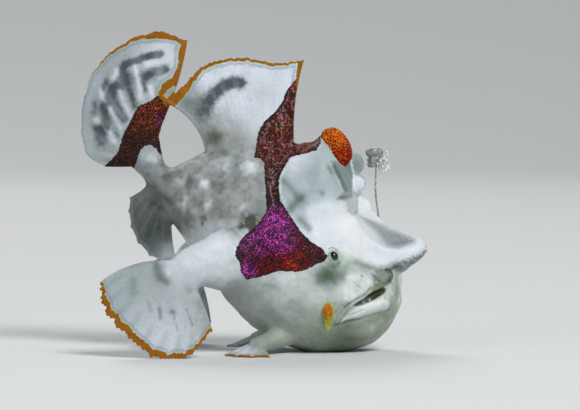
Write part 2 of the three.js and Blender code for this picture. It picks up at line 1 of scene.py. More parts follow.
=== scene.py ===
"""Looks of a warty frogfish, life size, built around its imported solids.

Shapes are worked out in millimetres in the fish's own frame: +X towards the head, +Y to the
fish's own left, +Z up, with the floor at Z = 0. They go into the meshes in metres.
"""

import logging
import math
from collections.abc import Callable, Sequence
from dataclasses import dataclass, field
from enum import Enum

import bmesh
import bpy
import numpy as np
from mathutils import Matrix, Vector


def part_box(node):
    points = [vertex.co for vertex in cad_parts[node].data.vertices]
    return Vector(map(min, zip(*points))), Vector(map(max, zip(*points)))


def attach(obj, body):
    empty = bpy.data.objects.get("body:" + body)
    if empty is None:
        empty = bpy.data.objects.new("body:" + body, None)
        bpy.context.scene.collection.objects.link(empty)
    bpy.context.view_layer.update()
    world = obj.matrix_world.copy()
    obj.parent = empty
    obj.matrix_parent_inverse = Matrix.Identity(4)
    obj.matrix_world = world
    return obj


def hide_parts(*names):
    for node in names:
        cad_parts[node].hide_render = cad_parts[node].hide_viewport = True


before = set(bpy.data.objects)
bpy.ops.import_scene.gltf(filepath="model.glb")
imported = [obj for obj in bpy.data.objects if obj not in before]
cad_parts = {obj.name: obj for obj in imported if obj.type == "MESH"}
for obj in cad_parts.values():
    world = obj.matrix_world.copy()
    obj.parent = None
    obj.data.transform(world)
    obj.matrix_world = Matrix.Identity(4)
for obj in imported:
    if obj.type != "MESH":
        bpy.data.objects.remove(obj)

LOG = logging.getLogger("frogfish")
MM = 0.001
BODY = "root"

Points = Sequence[Sequence[float]] | Sequence[float]
Tint = tuple[float, float, float]
Surface = Callable[[np.ndarray, np.ndarray], np.ndarray]
Profile = Callable[[np.ndarray], np.ndarray]


class Side(Enum):
    """The fish's right and left, as the sign of Y."""

    RIGHT = -1
    LEFT = 1

    @property
    def label(self) -> str:
        """The word that ends a node's name."""
        return self.name.lower()


# Smooth lines, noise and small numbers


class Line:
    """A smooth line through points: a uniform Catmull-Rom curve with mirrored end points."""

    def __init__(self, points: Points) -> None:
        """Keeps the points, with one more beyond each end."""
        inner = np.asarray(points, float)
        if inner.ndim == 1:
            inner = inner[:, None]
        self.points = np.vstack([2 * inner[0] - inner[1], inner, 2 * inner[-1] - inner[-2]])

    def __call__(self, share: np.ndarray | float) -> np.ndarray:
        """Points at shares of the line.

        Args:
            share: places from 0 to 1, of any shape.

        Returns:
            An array of that shape with one more axis for the coordinates.
        """
        spans = len(self.points) - 3
        place = np.clip(np.asarray(share, float), 0, 1) * spans
        start = np.minimum(place.astype(int), spans - 1)
        step = (place - start)[..., None]
        before, here, there, after = (self.points[start + k] for k in range(4))
        leave, arrive = (there - before) / 2, (after - here) / 2
        return (
            here
            + leave * step
            + (3 * (there - here) - 2 * leave - arrive) * step**2
            + (2 * (here - there) + leave + arrive) * step**3
        )

    def value(self, share: np.ndarray | float) -> np.ndarray:
        """The first coordinate alone, for lines that hold one smooth value."""
        return self(share)[..., 0]


class Noise:
    """Smooth seeded noise: random values on a lattice, blended between its corners."""

    def __init__(self, seed: int, size: int = 32) -> None:
        """Draws the lattice."""
        self.table = np.random.default_rng(seed).uniform(-1, 1, (size, size, size))

    def __call__(self, points: np.ndarray, cell_mm: float) -> np.ndarray:
        """Noise from -1 to 1 at points.

        Args:
            points: places in mm, one a row.
            cell_mm: distance between the lattice's values.

        Returns:
            One value a point.
        """
        place = points / cell_mm
        cell = np.floor(place).astype(int)
        part = place - cell
        part = part * part * (3 - 2 * part)
        total = np.zeros(len(points))
        for corner in np.ndindex(2, 2, 2):
            weight = np.prod(np.where(corner, part, 1 - part), axis=1)
            at = (cell + corner) % len(self.table)
            total += weight * self.table[at[:, 0], at[:, 1], at[:, 2]]
        return total


def smooth_step(value: np.ndarray, low: float, high: float) -> np.ndarray:
    """0 below low, 1 above high, and an S-shaped rise between them."""
    share = np.clip((value - low) / (high - low), 0, 1)
    return share * share * (3 - 2 * share)


def bell(distance: np.ndarray, width: float) -> np.ndarray:
    """1 at no distance, falling off as a bell curve of that width."""
    return np.exp(-((distance / width) ** 2))


def path_gaps(places: np.ndarray, path: Points) -> tuple[np.ndarray, np.ndarray]:
    """How far each place lies from a path of straight pieces, and on which side of it.

    Args:
        places: 2-D places, one a row.
        path: the path's corners; a single one is a point.

    Returns:
        The shortest distances, and 1 to the left of the nearest piece or -1 to its right.
    """
    corners = np.asarray(path, float)
    nearest = np.full(len(places), np.inf)
    side = np.zeros(len(places))
    for start, end in zip(corners, corners[1:] if len(corners) > 1 else corners):
        along = end - start
        share = np.clip((places - start) @ along / max(along @ along, 1e-9), 0, 1)
        gap = places - start - share[:, None] * along
        distance = np.hypot(gap[:, 0], gap[:, 1])
        turn = np.sign(along[0] * gap[:, 1] - along[1] * gap[:, 0])
        side = np.where(distance < nearest, turn, side)
        nearest = np.minimum(nearest, distance)
    return nearest, side


def path_distance(places: np.ndarray, path: Points) -> np.ndarray:
    """The shortest distance from each 2-D place to a path of straight pieces."""
    return path_gaps(places, path)[0]


def outline_distance(places: np.ndarray, outline: Points) -> np.ndarray:
    """How deep each place lies within a closed outline: even-odd crossings give the sign.

    Args:
        places: 2-D places, one a row.
        outline: its corners.

    Returns:
        The distances from the outline, negative outside it.
    """
    corners = np.asarray([*outline, outline[0]], float)
    inside = np.zeros(len(places), bool)
    x, y = places[:, 0], places[:, 1]
    for (ax, ay), (bx, by) in zip(corners[:-1], corners[1:]):
        crosses = (ay > y) != (by > y)
        reach = ax + (y - ay) * (bx - ax) / (by - ay if by != ay else 1e-9)
        inside ^= crosses & (x < reach)
    return np.where(inside, 1, -1) * path_distance(places, corners)


# The photograph's viewpoint


@dataclass(frozen=True)
class Viewpoint:
    """The photograph's view: level with the fish, along +Y, a little from above.

    Pixels are those of the 580 by 410 photograph; the fish's mid-plane is 0.3 mm to a pixel.
    """

    mm_per_pixel: float = 0.3
    centre_pixel: tuple[float, float] = (290.0, 205.0)
    zero_pixel: tuple[float, float] = (254.0, 351.0)
    distance_mm: float = 900.0
    elevation_deg: float = 2.0
    width_pixels: int = 580
    sensor_mm: float = 36.0

    @property
    def target(self) -> np.ndarray:
        """The point of the mid-plane at the picture's centre, in mm."""
        across = (self.centre_pixel[0] - self.zero_pixel[0]) * self.mm_per_pixel
        up = (self.zero_pixel[1] - self.centre_pixel[1]) * self.mm_per_pixel
        return np.array([across, 0.0, up])

    @property
    def towards(self) -> np.ndarray:
        """The direction in which the camera looks."""
        tilt = math.radians(self.elevation_deg)
        return np.array([0.0, math.cos(tilt), -math.sin(tilt)])

    @property
    def upwards(self) -> np.ndarray:
        """The direction that is up in the picture."""
        return np.cross([1.0, 0.0, 0.0], self.towards)

    def pixels(self, points: np.ndarray) -> np.ndarray:
        """Where points fall in the photograph, with the left flank folded onto the right.

        Args:
            points: places in mm, one a row.

        Returns:
            Pixel columns and rows, one pair a row.
        """
        middle = tail_swing(points[:, 0])
        folded = points - self.target
        folded[:, 1] = middle - np.abs(points[:, 1] - middle)
        scale = self.distance_mm / (self.distance_mm + folded @ self.towards) / self.mm_per_pixel
        column = self.centre_pixel[0] + folded[:, 0] * scale
        row = self.centre_pixel[1] - folded @ self.upwards * scale
        return np.column_stack([column, row])

    def at_pixel(self, x: float, y: float, depth: float) -> np.ndarray:
        """The place behind a pixel.

        Args:
            x: the pixel's column.
            y: its row.
            depth: mm along the view, from the mid-plane.

        Returns:
            The place in mm.
        """
        scale = self.mm_per_pixel * (self.distance_mm + depth) / self.distance_mm
        across = (x - self.centre_pixel[0]) * scale
        up = (self.centre_pixel[1] - y) * scale
        return self.target + [across, 0, 0] + up * self.upwards + depth * self.towards

    def make_camera(self, shift: np.ndarray) -> None:
        """Adds the camera and makes it the scene's own.

        Args:
            shift: mm from the shapes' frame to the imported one.
        """
        data = bpy.data.cameras.new("photo_view")
        data.sensor_width = self.sensor_mm
        data.lens = self.sensor_mm * self.distance_mm / (self.width_pixels * self.mm_per_pixel)
        data.clip_start, data.clip_end = 0.05, 50.0
        camera = bpy.data.objects.new("photo_view", data)
        camera.location = Vector((self.target + shift - self.towards * self.distance_mm) * MM)
        camera.rotation_mode = "QUATERNION"
        camera.rotation_quaternion = Vector(self.towards).to_track_quat("-Z", "Y")
        bpy.context.scene.collection.objects.link(camera)
        bpy.context.scene.camera = camera


VIEW = Viewpoint()


# Shells: closed surfaces as numpy arrays


@dataclass
class Shell:
    """A closed surface: points in mm, and faces as rows of four point numbers.

    A triangle repeats its last number.
    """

    points: np.ndarray
    faces: np.ndarray
    layers: dict[str, np.ndarray] = field(default_factory=dict)

    @staticmethod
    def join(shells: Sequence["Shell"]) -> "Shell":
        """Several shells as one, without their layers."""
        starts = np.cumsum([0, *[len(s.points) for s in shells[:-1]]])
        faces = [s.faces + start for s, start in zip(shells, starts)]
        return Shell(np.vstack([s.points for s in shells]), np.vstack(faces))

    def push(self, rise: np.ndarray) -> None:
        """Moves the points along their normals by a rise in mm for each."""
        self.points = self.points + rise[:, None] * self.normals()

    def normals(self) -> np.ndarray:
        """Unit normals at the points: the summed cross products of the faces' diagonals.

        Returns:
            One normal a point.
        """
        a, b, c, d = (self.points[self.faces[:, k]] for k in range(4))
        facing = np.cross(c - a, d - b)
        total = np.zeros_like(self.points)
        for corner in self.faces.T:
            for axis in range(3):
                total[:, axis] += np.bincount(corner, facing[:, axis], len(total))
        return total / np.maximum(np.linalg.norm(total, axis=1, keepdims=True), 1e-12)

    def edges(self) -> np.ndarray:
        """Every edge once, as pairs of point numbers."""
        pairs = np.vstack([self.faces[:, [k, (k + 1) % 4]] for k in range(4)])
        return np.unique(np.sort(pairs[pairs[:, 0] != pairs[:, 1]], axis=1), axis=0)


def neighbour_mean(values: np.ndarray, edges: np.ndarray) -> np.ndarray:
    """The mean of each point's neighbours, column by column.

    Args:
        values: a row for each point.
        edges: pairs of point numbers.

    Returns:
        An array like values.
    """
    count = np.bincount(edges.ravel(), minlength=len(values))[:, None]
    total = np.zeros_like(values)
    for near, far in (edges.T, edges.T[::-1]):
        for axis in range(values.shape[1]):
            total[:, axis] += np.bincount(near, values[far, axis], len(values))
    return total / np.maximum(count, 1)


def ring_shell(at: Surface, rings: int, sides: int) -> Shell:
    """A closed skin of rings between two poles.

    Args:
        at: gives points for arrays of shares along (0 to 1) and angles round.
        rings: how many rings lie between the poles.
        sides: how many points a ring has.

    Returns:
        The shell, with its faces pointing out.
    """
    share = np.arange(1, rings + 1) / (rings + 1)
    angle = 2 * np.pi * np.arange(sides) / sides
    body = at(*np.meshgrid(share, angle, indexing="ij")).reshape(-1, 3)
    opposite = np.array([0.0, np.pi])
    ends = [at(np.full(2, end), opposite).mean(axis=0, keepdims=True) for end in (0.0, 1.0)]
    number = np.arange(rings * sides).reshape(rings, sides)
    after = np.roll(number, -1, axis=1)
    quads = np.stack([number[:-1], after[:-1], after[1:], number[1:]], axis=-1).reshape(-1, 4)
    first, last = np.full(sides, rings * sides), np.full(sides, rings * sides + 1)
    low = np.stack([number[0], first, after[0], after[0]], axis=-1)
    high = np.stack([number[-1], after[-1], last, last], axis=-1)
    return outwards(Shell(np.vstack([body, *ends]), np.vstack([quads, low, high])))


def outwards(shell: Shell) -> Shell:
    """Turns a shell's faces over where its volume comes out negative.

    Args:
        shell: the surface, which is changed.

    Returns:
        The same shell.
    """
    a, b, c, d = (shell.points[shell.faces[:, k]] for k in range(4))
    volume = np.sum(a * np.cross(b, c)) + np.sum(a * np.cross(c, d))
    if volume < 0:
        triangle = shell.faces[:, 2] == shell.faces[:, 3]
        flipped = shell.faces[:, [3, 2, 1, 0]]
        flipped[triangle] = shell.faces[triangle][:, [1, 0, 2, 2]]
        shell.faces = flipped
    return shell


def tube_shell(line: Line, radius: Profile, rings: int, sides: int) -> Shell:
    """A round tube along a line, closed to a point at both ends."""
    return limb_shell(line, radius, radius, rings, sides)


def limb_shell(line: Line, tall: Profile, thick: Profile, rings: int, sides: int) -> Shell:
    """An oval tube along a line: each ring is an ellipse square to the line.

    Args:
        line: its middle, in mm.
        tall: its half height in the upright plane of the line, by shares along.
        thick: its half thickness across that plane.
        rings: how many rings it has.
        sides: how many points a ring has.

    Returns:
        The closed tube.
    """

    def at(share: np.ndarray, angle: np.ndarray) -> np.ndarray:
        """Points at shares along and angles round: the line, plus the ellipse's two parts."""
        step = 1e-3
        along = line(np.minimum(share + step, 1)) - line(np.maximum(share - step, 0))
        along /= np.linalg.norm(along, axis=-1, keepdims=True)
        across = np.cross(along, [0.0, 0.0, 1.0])
        across /= np.linalg.norm(across, axis=-1, keepdims=True)
        upright = np.cross(across, along) * (tall(share) * np.cos(angle))[..., None]
        return line(share) + upright + across * (thick(share) * np.sin(angle))[..., None]

    return ring_shell(at, rings, sides)


def ball_points(share: np.ndarray, angle: np.ndarray) -> np.ndarray:
    """Points of the unit sphere, at shares down from its top and angles round."""
    turn = np.pi * share
    around = (np.sin(turn) * np.cos(angle), np.sin(turn) * np.sin(angle), np.cos(turn))
    return np.stack(around, axis=-1)


def ball_shell(centre: Points, size: Points, rings: int, sides: int) -> Shell:
    """An egg: the unit sphere stretched by its half sizes, about a centre."""

    def at(share: np.ndarray, angle: np.ndarray) -> np.ndarray:
        """Points of the egg."""
        return ball_points(share, angle) * np.asarray(size) + np.asarray(centre)

    return ring_shell(at, rings, sides)


def shell_to_mesh(name: str, shell: Shell, shift: np.ndarray) -> bpy.types.Mesh:
    """A mesh in metres with a shell's points and faces.

    Args:
        name: the mesh's name.
        shell: the surface.
        shift: mm to move it by.

    Returns:
        The mesh.
    """
    mesh = bpy.data.meshes.new(name)
    quads = shell.faces[:, 2] != shell.faces[:, 3]
    rows = [row[: 4 if quad else 3] for row, quad in zip(shell.faces.tolist(), quads.tolist())]
    mesh.from_pydata(((shell.points + shift) * MM).tolist(), [], rows)
    return mesh


def add_mesh(name: str, shell: Shell, shift: np.ndarray) -> bpy.types.Object:
    """Puts a shell into the scene as a smooth mesh object at the origin.

    Args:
        name: the piece's name.
        shell: its surface; its layers become point attributes.
        shift: mm to move it by, from the shapes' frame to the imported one.

    Returns:
        The new object.
    """
    mesh = shell_to_mesh(name, shell, shift)
    mesh.polygons.foreach_set("use_smooth", np.ones(len(mesh.polygons), bool))
    for layer, values in shell.layers.items():
        if values.ndim == 1:
            kind, key = "FLOAT", "value"
        else:
            kind, key = "FLOAT_COLOR", "color"
            values = np.column_stack([values, np.ones(len(values))])
        attribute = mesh.attributes.new(layer, kind, "POINT")
        attribute.data.foreach_set(key, values.astype(np.float32).ravel())
    mesh.update()
    piece = bpy.data.objects.new(name, mesh)
    bpy.context.scene.collection.objects.link(piece)
    return piece


def mesh_to_shell(mesh: bpy.types.Mesh) -> Shell:
    """Reads a mesh's points and faces back; it has only triangles and quads.

    Args:
        mesh: the mesh, in metres.

    Returns:
        The shell, in mm.
    """
    points = np.empty(len(mesh.vertices) * 3)
    mesh.vertices.foreach_get("co", points)
    sizes, starts = np.empty((2, len(mesh.polygons)), int)
    mesh.polygons.foreach_get("loop_total", sizes)
    mesh.polygons.foreach_get("loop_start", starts)
    corners = np.empty(len(mesh.loops), int)
    mesh.loops.foreach_get("vertex_index", corners)
    last = starts + np.minimum(sizes, 4) - 1
    faces = corners[np.stack([starts, starts + 1, starts + 2, last], axis=1)]
    return Shell(points.reshape(-1, 3) / MM, faces)


def fused(shells: Sequence[Shell], voxel_mm: float) -> Shell:
    """Several closed shells fused into one skin by a voxel remesh.

    Args:
        shells: the shells.
        voxel_mm: the size of the remesh's cells.

    Returns:
        The one skin.
    """
    whole = add_mesh("fusing", Shell.join(shells), np.zeros(3))
    remesh = whole.modifiers.new("fuse", "REMESH")
    remesh.mode = "VOXEL"
    remesh.voxel_size = voxel_mm * MM
    ready = whole.evaluated_get(bpy.context.evaluated_depsgraph_get())
    shell = mesh_to_shell(ready.to_mesh())
    ready.to_mesh_clear()
    bpy.data.objects.remove(whole)
    return shell


def softened(shell: Shell, rounds: int, wear: float) -> Shell:
    """Fillets the hollows between forms, while ridges and tips keep their place.

    Each round moves a point part of the way to the mean of its neighbours: half way where that
    lifts it out of a hollow, and only by the share wear of that where it would wear a bulge down.

    Args:
        shell: the surface, which is changed.
        rounds: how many rounds.
        wear: the share for bulges, from 0 to 1.

    Returns:
        The same shell.
    """
    edges = shell.edges()
    for _ in range(rounds):
        pull = neighbour_mean(shell.points, edges) - shell.points
        lifts = np.sum(pull * shell.normals(), axis=1, keepdims=True) > 0
        shell.points = shell.points + np.where(lifts, 0.5, 0.5 * wear) * pull
    return shell


def refined(shell: Shell, near: np.ndarray) -> Shell:
    """The shell with the faces whose points are all near split in four.

    Args:
        shell: the surface.
        near: for each point, whether it is near.

    Returns:
        The finer shell.
    """
    mesh = shell_to_mesh("refining", shell, np.zeros(3))
    work = bmesh.new()
    work.from_mesh(mesh)
    work.verts.ensure_lookup_table()
    edges = [e for e in work.edges if near[e.verts[0].index] and near[e.verts[1].index]]
    bmesh.ops.subdivide_edges(work, edges=edges, cuts=1, use_grid_fill=True)
    bmesh.ops.triangulate(work, faces=[f for f in work.faces if len(f.verts) > 4])
    work.to_mesh(mesh)
    work.free()
    fine = mesh_to_shell(mesh)
    bpy.data.meshes.remove(mesh)
    return fine


# The fish's forms, from the same sizes as the solids


@dataclass(frozen=True)
class Ribbed:
    """A form of ribs: each joins a point of its upper edge to one of its lower edge.

    A rib's section is an ellipse, made narrower towards its top by top_taper and pinched there
    by dish, which hollows the flanks under the top edge.
    """

    upper: Points
    lower: Points
    half_width: Sequence[float]
    top_taper: float = 0.0
    dish: float = 0.0

    def point(self, share: np.ndarray, angle: np.ndarray) -> np.ndarray:
        """Points of the form at shares along it and angles round its ribs."""
        top, bottom = Line(self.upper)(share), Line(self.lower)(share)
        middle = bottom + (top - bottom) * ((1 + np.cos(angle)) / 2)[..., None]
        narrow = 1 - self.top_taper * np.cos(angle)
        narrow = narrow - self.dish * np.clip(np.cos(angle), 0, 1) * np.sin(angle) ** 2
        across = Line(self.half_width).value(share) * narrow * np.sin(angle)
        return np.stack([middle[..., 0], across + tail_swing(middle[..., 0]), middle[..., 1]], axis=-1)

    def shell(self, rings: int, sides: int) -> Shell:
        """The closed form."""
        return ring_shell(self.point, rings, sides)


TAIL_SWING = 7.0
TAIL_SWING_FROM = -5.0
TAIL_TIP_X = -52.0


def tail_swing(x: np.ndarray) -> np.ndarray:
    """How far the body bends to its left at x: a power curve from the trunk to the tail's tip."""
    share = np.clip((TAIL_SWING_FROM - x) / (TAIL_SWING_FROM - TAIL_TIP_X), 0, 1.2)
    return TAIL_SWING * share**1.6


TRUNK = Ribbed(
    upper=[
        (43.8, 21.0), (42.9, 24.9), (40.2, 28.5), (36.0, 32.7), (30.6, 37.5), (24.6, 43.5),
        (18.0, 54.6), (11.4, 60.6), (4.2, 61.8), (-3.6, 61.8), (-10.8, 60.6), (-16.5, 58.9),
        (-21.6, 56.4), (-25.4, 55.2), (-27.5, 58.6), (-28.4, 63.3), (-30.0, 68.4),
    ],
    lower=[
        (44.1, 19.2), (44.1, 14.7), (42.3, 9.9), (39.0, 5.1), (33.6, 1.5), (25.8, -0.4),
        (16.8, -0.4), (7.8, 2.4), (-0.6, 7.5), (-7.8, 15.0), (-14.1, 23.7), (-19.5, 31.5),
        (-24.0, 38.1), (-28.5, 44.4), (-32.7, 49.8), (-35.7, 53.7), (-36.6, 56.4),
    ],
    half_width=[
        0.9, 6.3, 9.6, 12.6, 15.6, 18.0, 19.5, 19.8, 18.6, 15.9, 12.9, 9.9, 7.5, 5.4, 3.9, 2.7, 0.9,
    ],
    top_taper=0.12,
)
HORN = Ribbed(
    upper=[
        (24.6, 49.2), (30.4, 46.6), (35.0, 42.6), (39.6, 38.4), (44.4, 35.9), (48.0, 34.5),
        (50.4, 33.4), (51.9, 31.9), (52.2, 30.9),
    ],
    lower=[
        (23.7, 24.3), (29.4, 23.7), (34.8, 23.1), (40.2, 23.4), (44.1, 24.1), (47.4, 25.5),
        (50.1, 27.6), (51.9, 29.7), (52.2, 30.6),
    ],
    half_width=[13.0, 11.0, 8.4, 6.4, 5.0, 4.0, 3.0, 1.5, 0.3],
    top_taper=0.5,
    dish=0.25,
)
HUMP = Ribbed(
    upper=[
        (29.4, 34.5), (30.0, 41.7), (29.9, 47.7), (29.6, 52.8), (28.7, 57.0), (26.6, 60.4),
        (23.9, 63.4), (21.6, 65.8),
    ],
    lower=[
        (5.0, 40.0), (4.4, 47.0), (5.6, 53.4), (8.0, 58.2), (11.2, 61.2), (14.6, 62.2),
        (18.0, 62.6), (20.7, 65.6),
    ],
    half_width=[14.0, 13.4, 11.8, 9.6, 7.6, 5.8, 3.8, 0.8],
)


@dataclass(frozen=True)
class Limb:
    """A limb of oval rings along a line; the sizes are the left limb's, mirrored for the right."""

    line: Points
    tall: Sequence[float]
    thick: Sequence[float]

    def shell(self, side: Side, rings: int, sides: int) -> Shell:
        """The closed limb of one side."""
        path = Line(np.asarray(self.line) * [1, side.value, 1])
        return limb_shell(path, Line(self.tall).value, Line(self.thick).value, rings, sides)


ARM = Limb(
    line=[
        (6.0, 6.0, 28.8), (-2.6, 14.6, 28.6), (-9.5, 19.8, 28.0), (-15.5, 22.5, 26.9),
        (-20.0, 23.7, 25.4), (-23.6, 24.1, 23.9),
    ],
    tall=[7.6, 9.0, 9.0, 6.7, 6.0, 3.0],
    thick=[5.6, 5.8, 5.2, 4.0, 3.0, 1.6],
)
LEG = Limb(
    line=[(12.0, 5.0, 6.4), (8.4, 9.8, 5.2), (4.6, 13.4, 3.9), (0.6, 16.6, 2.5), (-0.8, 17.6, 2.1)],
    tall=[3.6, 3.3, 2.7, 2.1, 1.2],
    thick=[3.8, 3.5, 3.2, 3.0, 2.0],
)


# Colours and markings


class Tone(Enum):
    """The colours of the fish's skin as sRGB bytes, several of them painted shade, and three greys for
    how mottled it is.
    """

    BILL = (222, 228, 234)
    # Painted shade: the grey of the bill's hollow top, the hump's dimples and the keel's side.
    DISH = (148, 156, 157)
    CREAM = (236, 230, 222)
    SHADE = (84, 98, 90)
    # The hump's grey-white, made a little darker than the bill as painted shade.
    HUMP = (167, 181, 185)
    # Painted shade on the lobe under the bill's overhang.
    LOBE = (116, 132, 121)
    FACE = (188, 198, 192)
    CHEEK = (192, 202, 201)
    CHIN = (158, 168, 154)
    # The chin's underside: its olive grey darkened as painted shade.
    THROAT = (98, 112, 82)
    LIP = (224, 231, 230)
    # The flank's grey, darkened further as painted shade where less light reaches it.
    FLANK = (158, 162, 160)
    ARM_WHITE = (212, 220, 226)
    # The anal fin's grey-white, darkened as painted shade.
    TAIL_GREY = (80, 88, 84)
    FIN_WHITE = (212, 220, 228)
    FIN_DIM = (168, 178, 181)
    FIN_GREY = (142, 150, 150)
    # Ash grey: grey marks of the skin and fins, and painted shade in creases, dimples, under the eye and
    # low on the arm.
    ASH = (112, 120, 117)
    # Moss green-grey: a few green spots, and mostly painted shade in creases, hollows and under the eye,
    # bill and chin.
    MOSS = (72, 92, 66)
    GLOW = (176, 214, 176)
    LEMON = (170, 190, 100)
    # Dark olive: the blotches, and painted shadow in crevices and creases of the face.
    OLIVE = (46, 62, 25)
    UMBER = (43, 42, 33)
    SLATE = (58, 73, 79)
    MAGENTA = (172, 56, 156)
    PURPLE = (118, 46, 98)
    CRIMSON = (120, 8, 14)
    OXBLOOD = (92, 20, 32)
    BAND = (52, 20, 24)
    MAROON = (104, 36, 40)
    RUST = (128, 50, 8)
    RUST_DARK = (66, 28, 5)
    SCARLET = (170, 40, 10)
    ORANGE = (132, 70, 0)
    AMBER = (160, 108, 0)
    MOUTH_BROWN = (68, 62, 30)
    MOUTH_OLIVE = (100, 108, 76)
    # Painted shade in the groove down the hump.
    VALLEY = (104, 117, 104)
    BAND_OLIVE = (138, 150, 126)
    CLEAR = (94, 94, 94)
    CLOUDY = (180, 180, 180)
    CLOUDY_MOST = (255, 255, 255)

    @property
    def linear(self) -> np.ndarray:
        """The colour as linear RGB."""
        share = np.asarray(self.value) / 255
        return np.where(share <= 0.04045, share / 12.92, ((share + 0.055) / 1.055) ** 2.4)


Pixel = tuple[float, float]
Zones = dict[Tone, Points]


class Mark:
    """A soft mark of one tone along a path of photograph pixels, or about its one point."""

    def __init__(
        self, tone: Tone, half: float, strength: float, *path: Pixel,
        crease: tuple[float, float] | None = None,
    ) -> None:
        """Keeps what the mark is.

        Args:
            tone: its colour.
            half: its half width in pixels.
            strength: its share of the colour in its middle.
            path: the pixels that it joins.
            crease: the width and rise in mm of the fold in the skin that it marks, if any.
        """
        self.tone, self.half, self.strength, self.path = tone, half, strength, path
        self.crease = crease

    def cover(self, places: np.ndarray) -> np.ndarray:
        """Its share at each place: a bell curve of the distance from the path."""
        return self.strength * bell(path_distance(places, self.path), self.half)


class Area(Mark):
    """A field of one tone within an outline; half is half the width of its soft edge."""

    def cover(self, places: np.ndarray) -> np.ndarray:
        """Its share at each place: an S-shaped rise across its edge."""
        depth = outline_distance(places, self.path)
        return self.strength * smooth_step(depth, -self.half, self.half)


class Fold:
    """A welt in the skin along a path of photograph pixels, or a bump about its one point.

    A crease or a dimple has a negative rise.
    """

    def __init__(self, width_mm: float, rise_mm: float, *path: Pixel) -> None:
        """Keeps the sizes and the path."""
        self.width_mm, self.rise_mm, self.path = width_mm, rise_mm, path

    def rise(self, places: np.ndarray) -> np.ndarray:
        """How far it lifts the skin at each place: a bell curve of the distance."""
        distance = path_distance(places, self.path) * VIEW.mm_per_pixel
        return self.rise_mm * bell(distance, self.width_mm)


def blended(places: np.ndarray, zones: Zones) -> np.ndarray:
    """Colours that run into each other: zones weighted by bell curves of the distance.

    Args:
        places: photograph pixels, one pair a row.
        zones: for each tone, the columns, rows and radii of its zones.

    Returns:
        One linear colour a place.
    """
    total = np.zeros((len(places), 3))
    weights = np.full(len(places), 1e-12)
    for tone, spots in zones.items():
        for x, y, radius in spots:
            weight = np.exp(-(((places - [x, y]) / radius) ** 2).sum(axis=1)) + 1e-9
            total += weight[:, None] * tone.linear
            weights += weight
    return total / weights[:, None]


def laid_over(ground: np.ndarray, colour: np.ndarray, share: np.ndarray) -> np.ndarray:
    """Linear colours with another over them, by a share for each."""
    return ground + share[:, None] * (colour - ground)


def marked(ground: np.ndarray, places: np.ndarray, marks: Sequence[Mark]) -> np.ndarray:
    """Linear colours with marks laid over them in order."""
    for mark in marks:
        ground = laid_over(ground, mark.tone.linear, mark.cover(places))
    return ground


# The pattern of the right side with its painted shade and highlights, in photograph pixels; the left is
# much the same


CHEEK = (
    (269, 203), (265, 214), (256, 226), (247, 233), (240, 241), (236, 249), (235, 256), (240, 263),
    (241, 273), (247, 280), (260, 277), (280, 271), (296, 272), (306, 270), (317, 264), (325, 261),
    (328, 256), (322, 249), (312, 242), (305, 236), (297, 226), (289, 214), (282, 203),
)
NECK = (
    (267, 210), (266, 200), (265, 180), (264, 162), (258, 157), (258, 132), (290, 126), (320, 128),
    (321, 143), (317, 149), (308, 150), (297, 153), (289, 159), (284, 168), (279, 178), (279, 192),
    (282, 210),
)
NAPE = (
    (254, 158), (257, 140), (260, 129), (265, 121), (276, 111), (283, 101), (286, 92), (290, 86),
    (297, 78), (301, 68), (303, 58), (309, 56), (308, 72), (304, 85), (300, 95), (299, 115),
    (299, 130), (304, 138), (312, 144), (318, 150), (280, 160),
)
PEDUNCLE = (
    (158, 95), (153, 100), (138, 106), (132, 118), (123, 135), (118, 152), (111, 160), (102, 168),
    (112, 174), (134, 170), (139, 154), (142, 148), (150, 144), (156, 149), (160, 154), (168, 158),
    (172, 140), (172, 106), (165, 98),
)
PATCH_TONES = {
    Tone.MAGENTA: ((277, 223, 12), (264, 238, 13), (247, 269, 6), (284, 238, 8)),
    Tone.PURPLE: ((250, 246, 8), (160, 120, 5)),
    Tone.OXBLOOD: ((295, 236, 7), (256, 258, 7), (311, 247, 8)),
    Tone.CRIMSON: ((272, 263, 11), (303, 257, 9)),
    Tone.SCARLET: ((291, 264, 6), (327, 255, 3), (302, 82, 7)),
    Tone.RUST_DARK: ((320, 257, 5), (238, 257, 6), (122, 158, 20), (150, 142, 12)),
    Tone.BAND: ((272, 188, 22),),
    Tone.MAROON: ((280, 155, 18), (292, 112, 22)),
    Tone.RUST: ((306, 142, 9), (283, 128, 8), (144, 112, 16)),
    Tone.ORANGE: ((304, 66, 12),),
}
GROUND_TONES = {
    Tone.BILL: ((345, 225, 26), (385, 258, 16), (418, 250, 12), (300, 165, 10)),
    Tone.HUMP: ((310, 185, 26), (300, 205, 14), (345, 175, 16)),
    Tone.FACE: ((345, 268, 14), (378, 284, 12), (400, 290, 10)),
    Tone.CHEEK: ((300, 290, 26), (260, 295, 22)),
    Tone.CHIN: ((366, 330, 18), (320, 326, 18), (280, 335, 24)),
    Tone.THROAT: ((345, 352, 16),),
    Tone.LIP: ((368, 307, 9),),
    Tone.FLANK: ((230, 180, 34), (185, 190, 26), (225, 140, 20), (230, 305, 26)),
    Tone.FIN_GREY: ((196, 124, 12), (192, 100, 8)),
    Tone.ARM_WHITE: ((215, 255, 22), (185, 262, 16)),
    Tone.ASH: ((165, 190, 22),),
    Tone.TAIL_GREY: ((142, 225, 24),),
    Tone.FIN_WHITE: ((245, 92, 34), (160, 60, 14), (160, 330, 22), (245, 356, 10)),
    Tone.FIN_DIM: ((115, 90, 46), (155, 306, 34)),
}
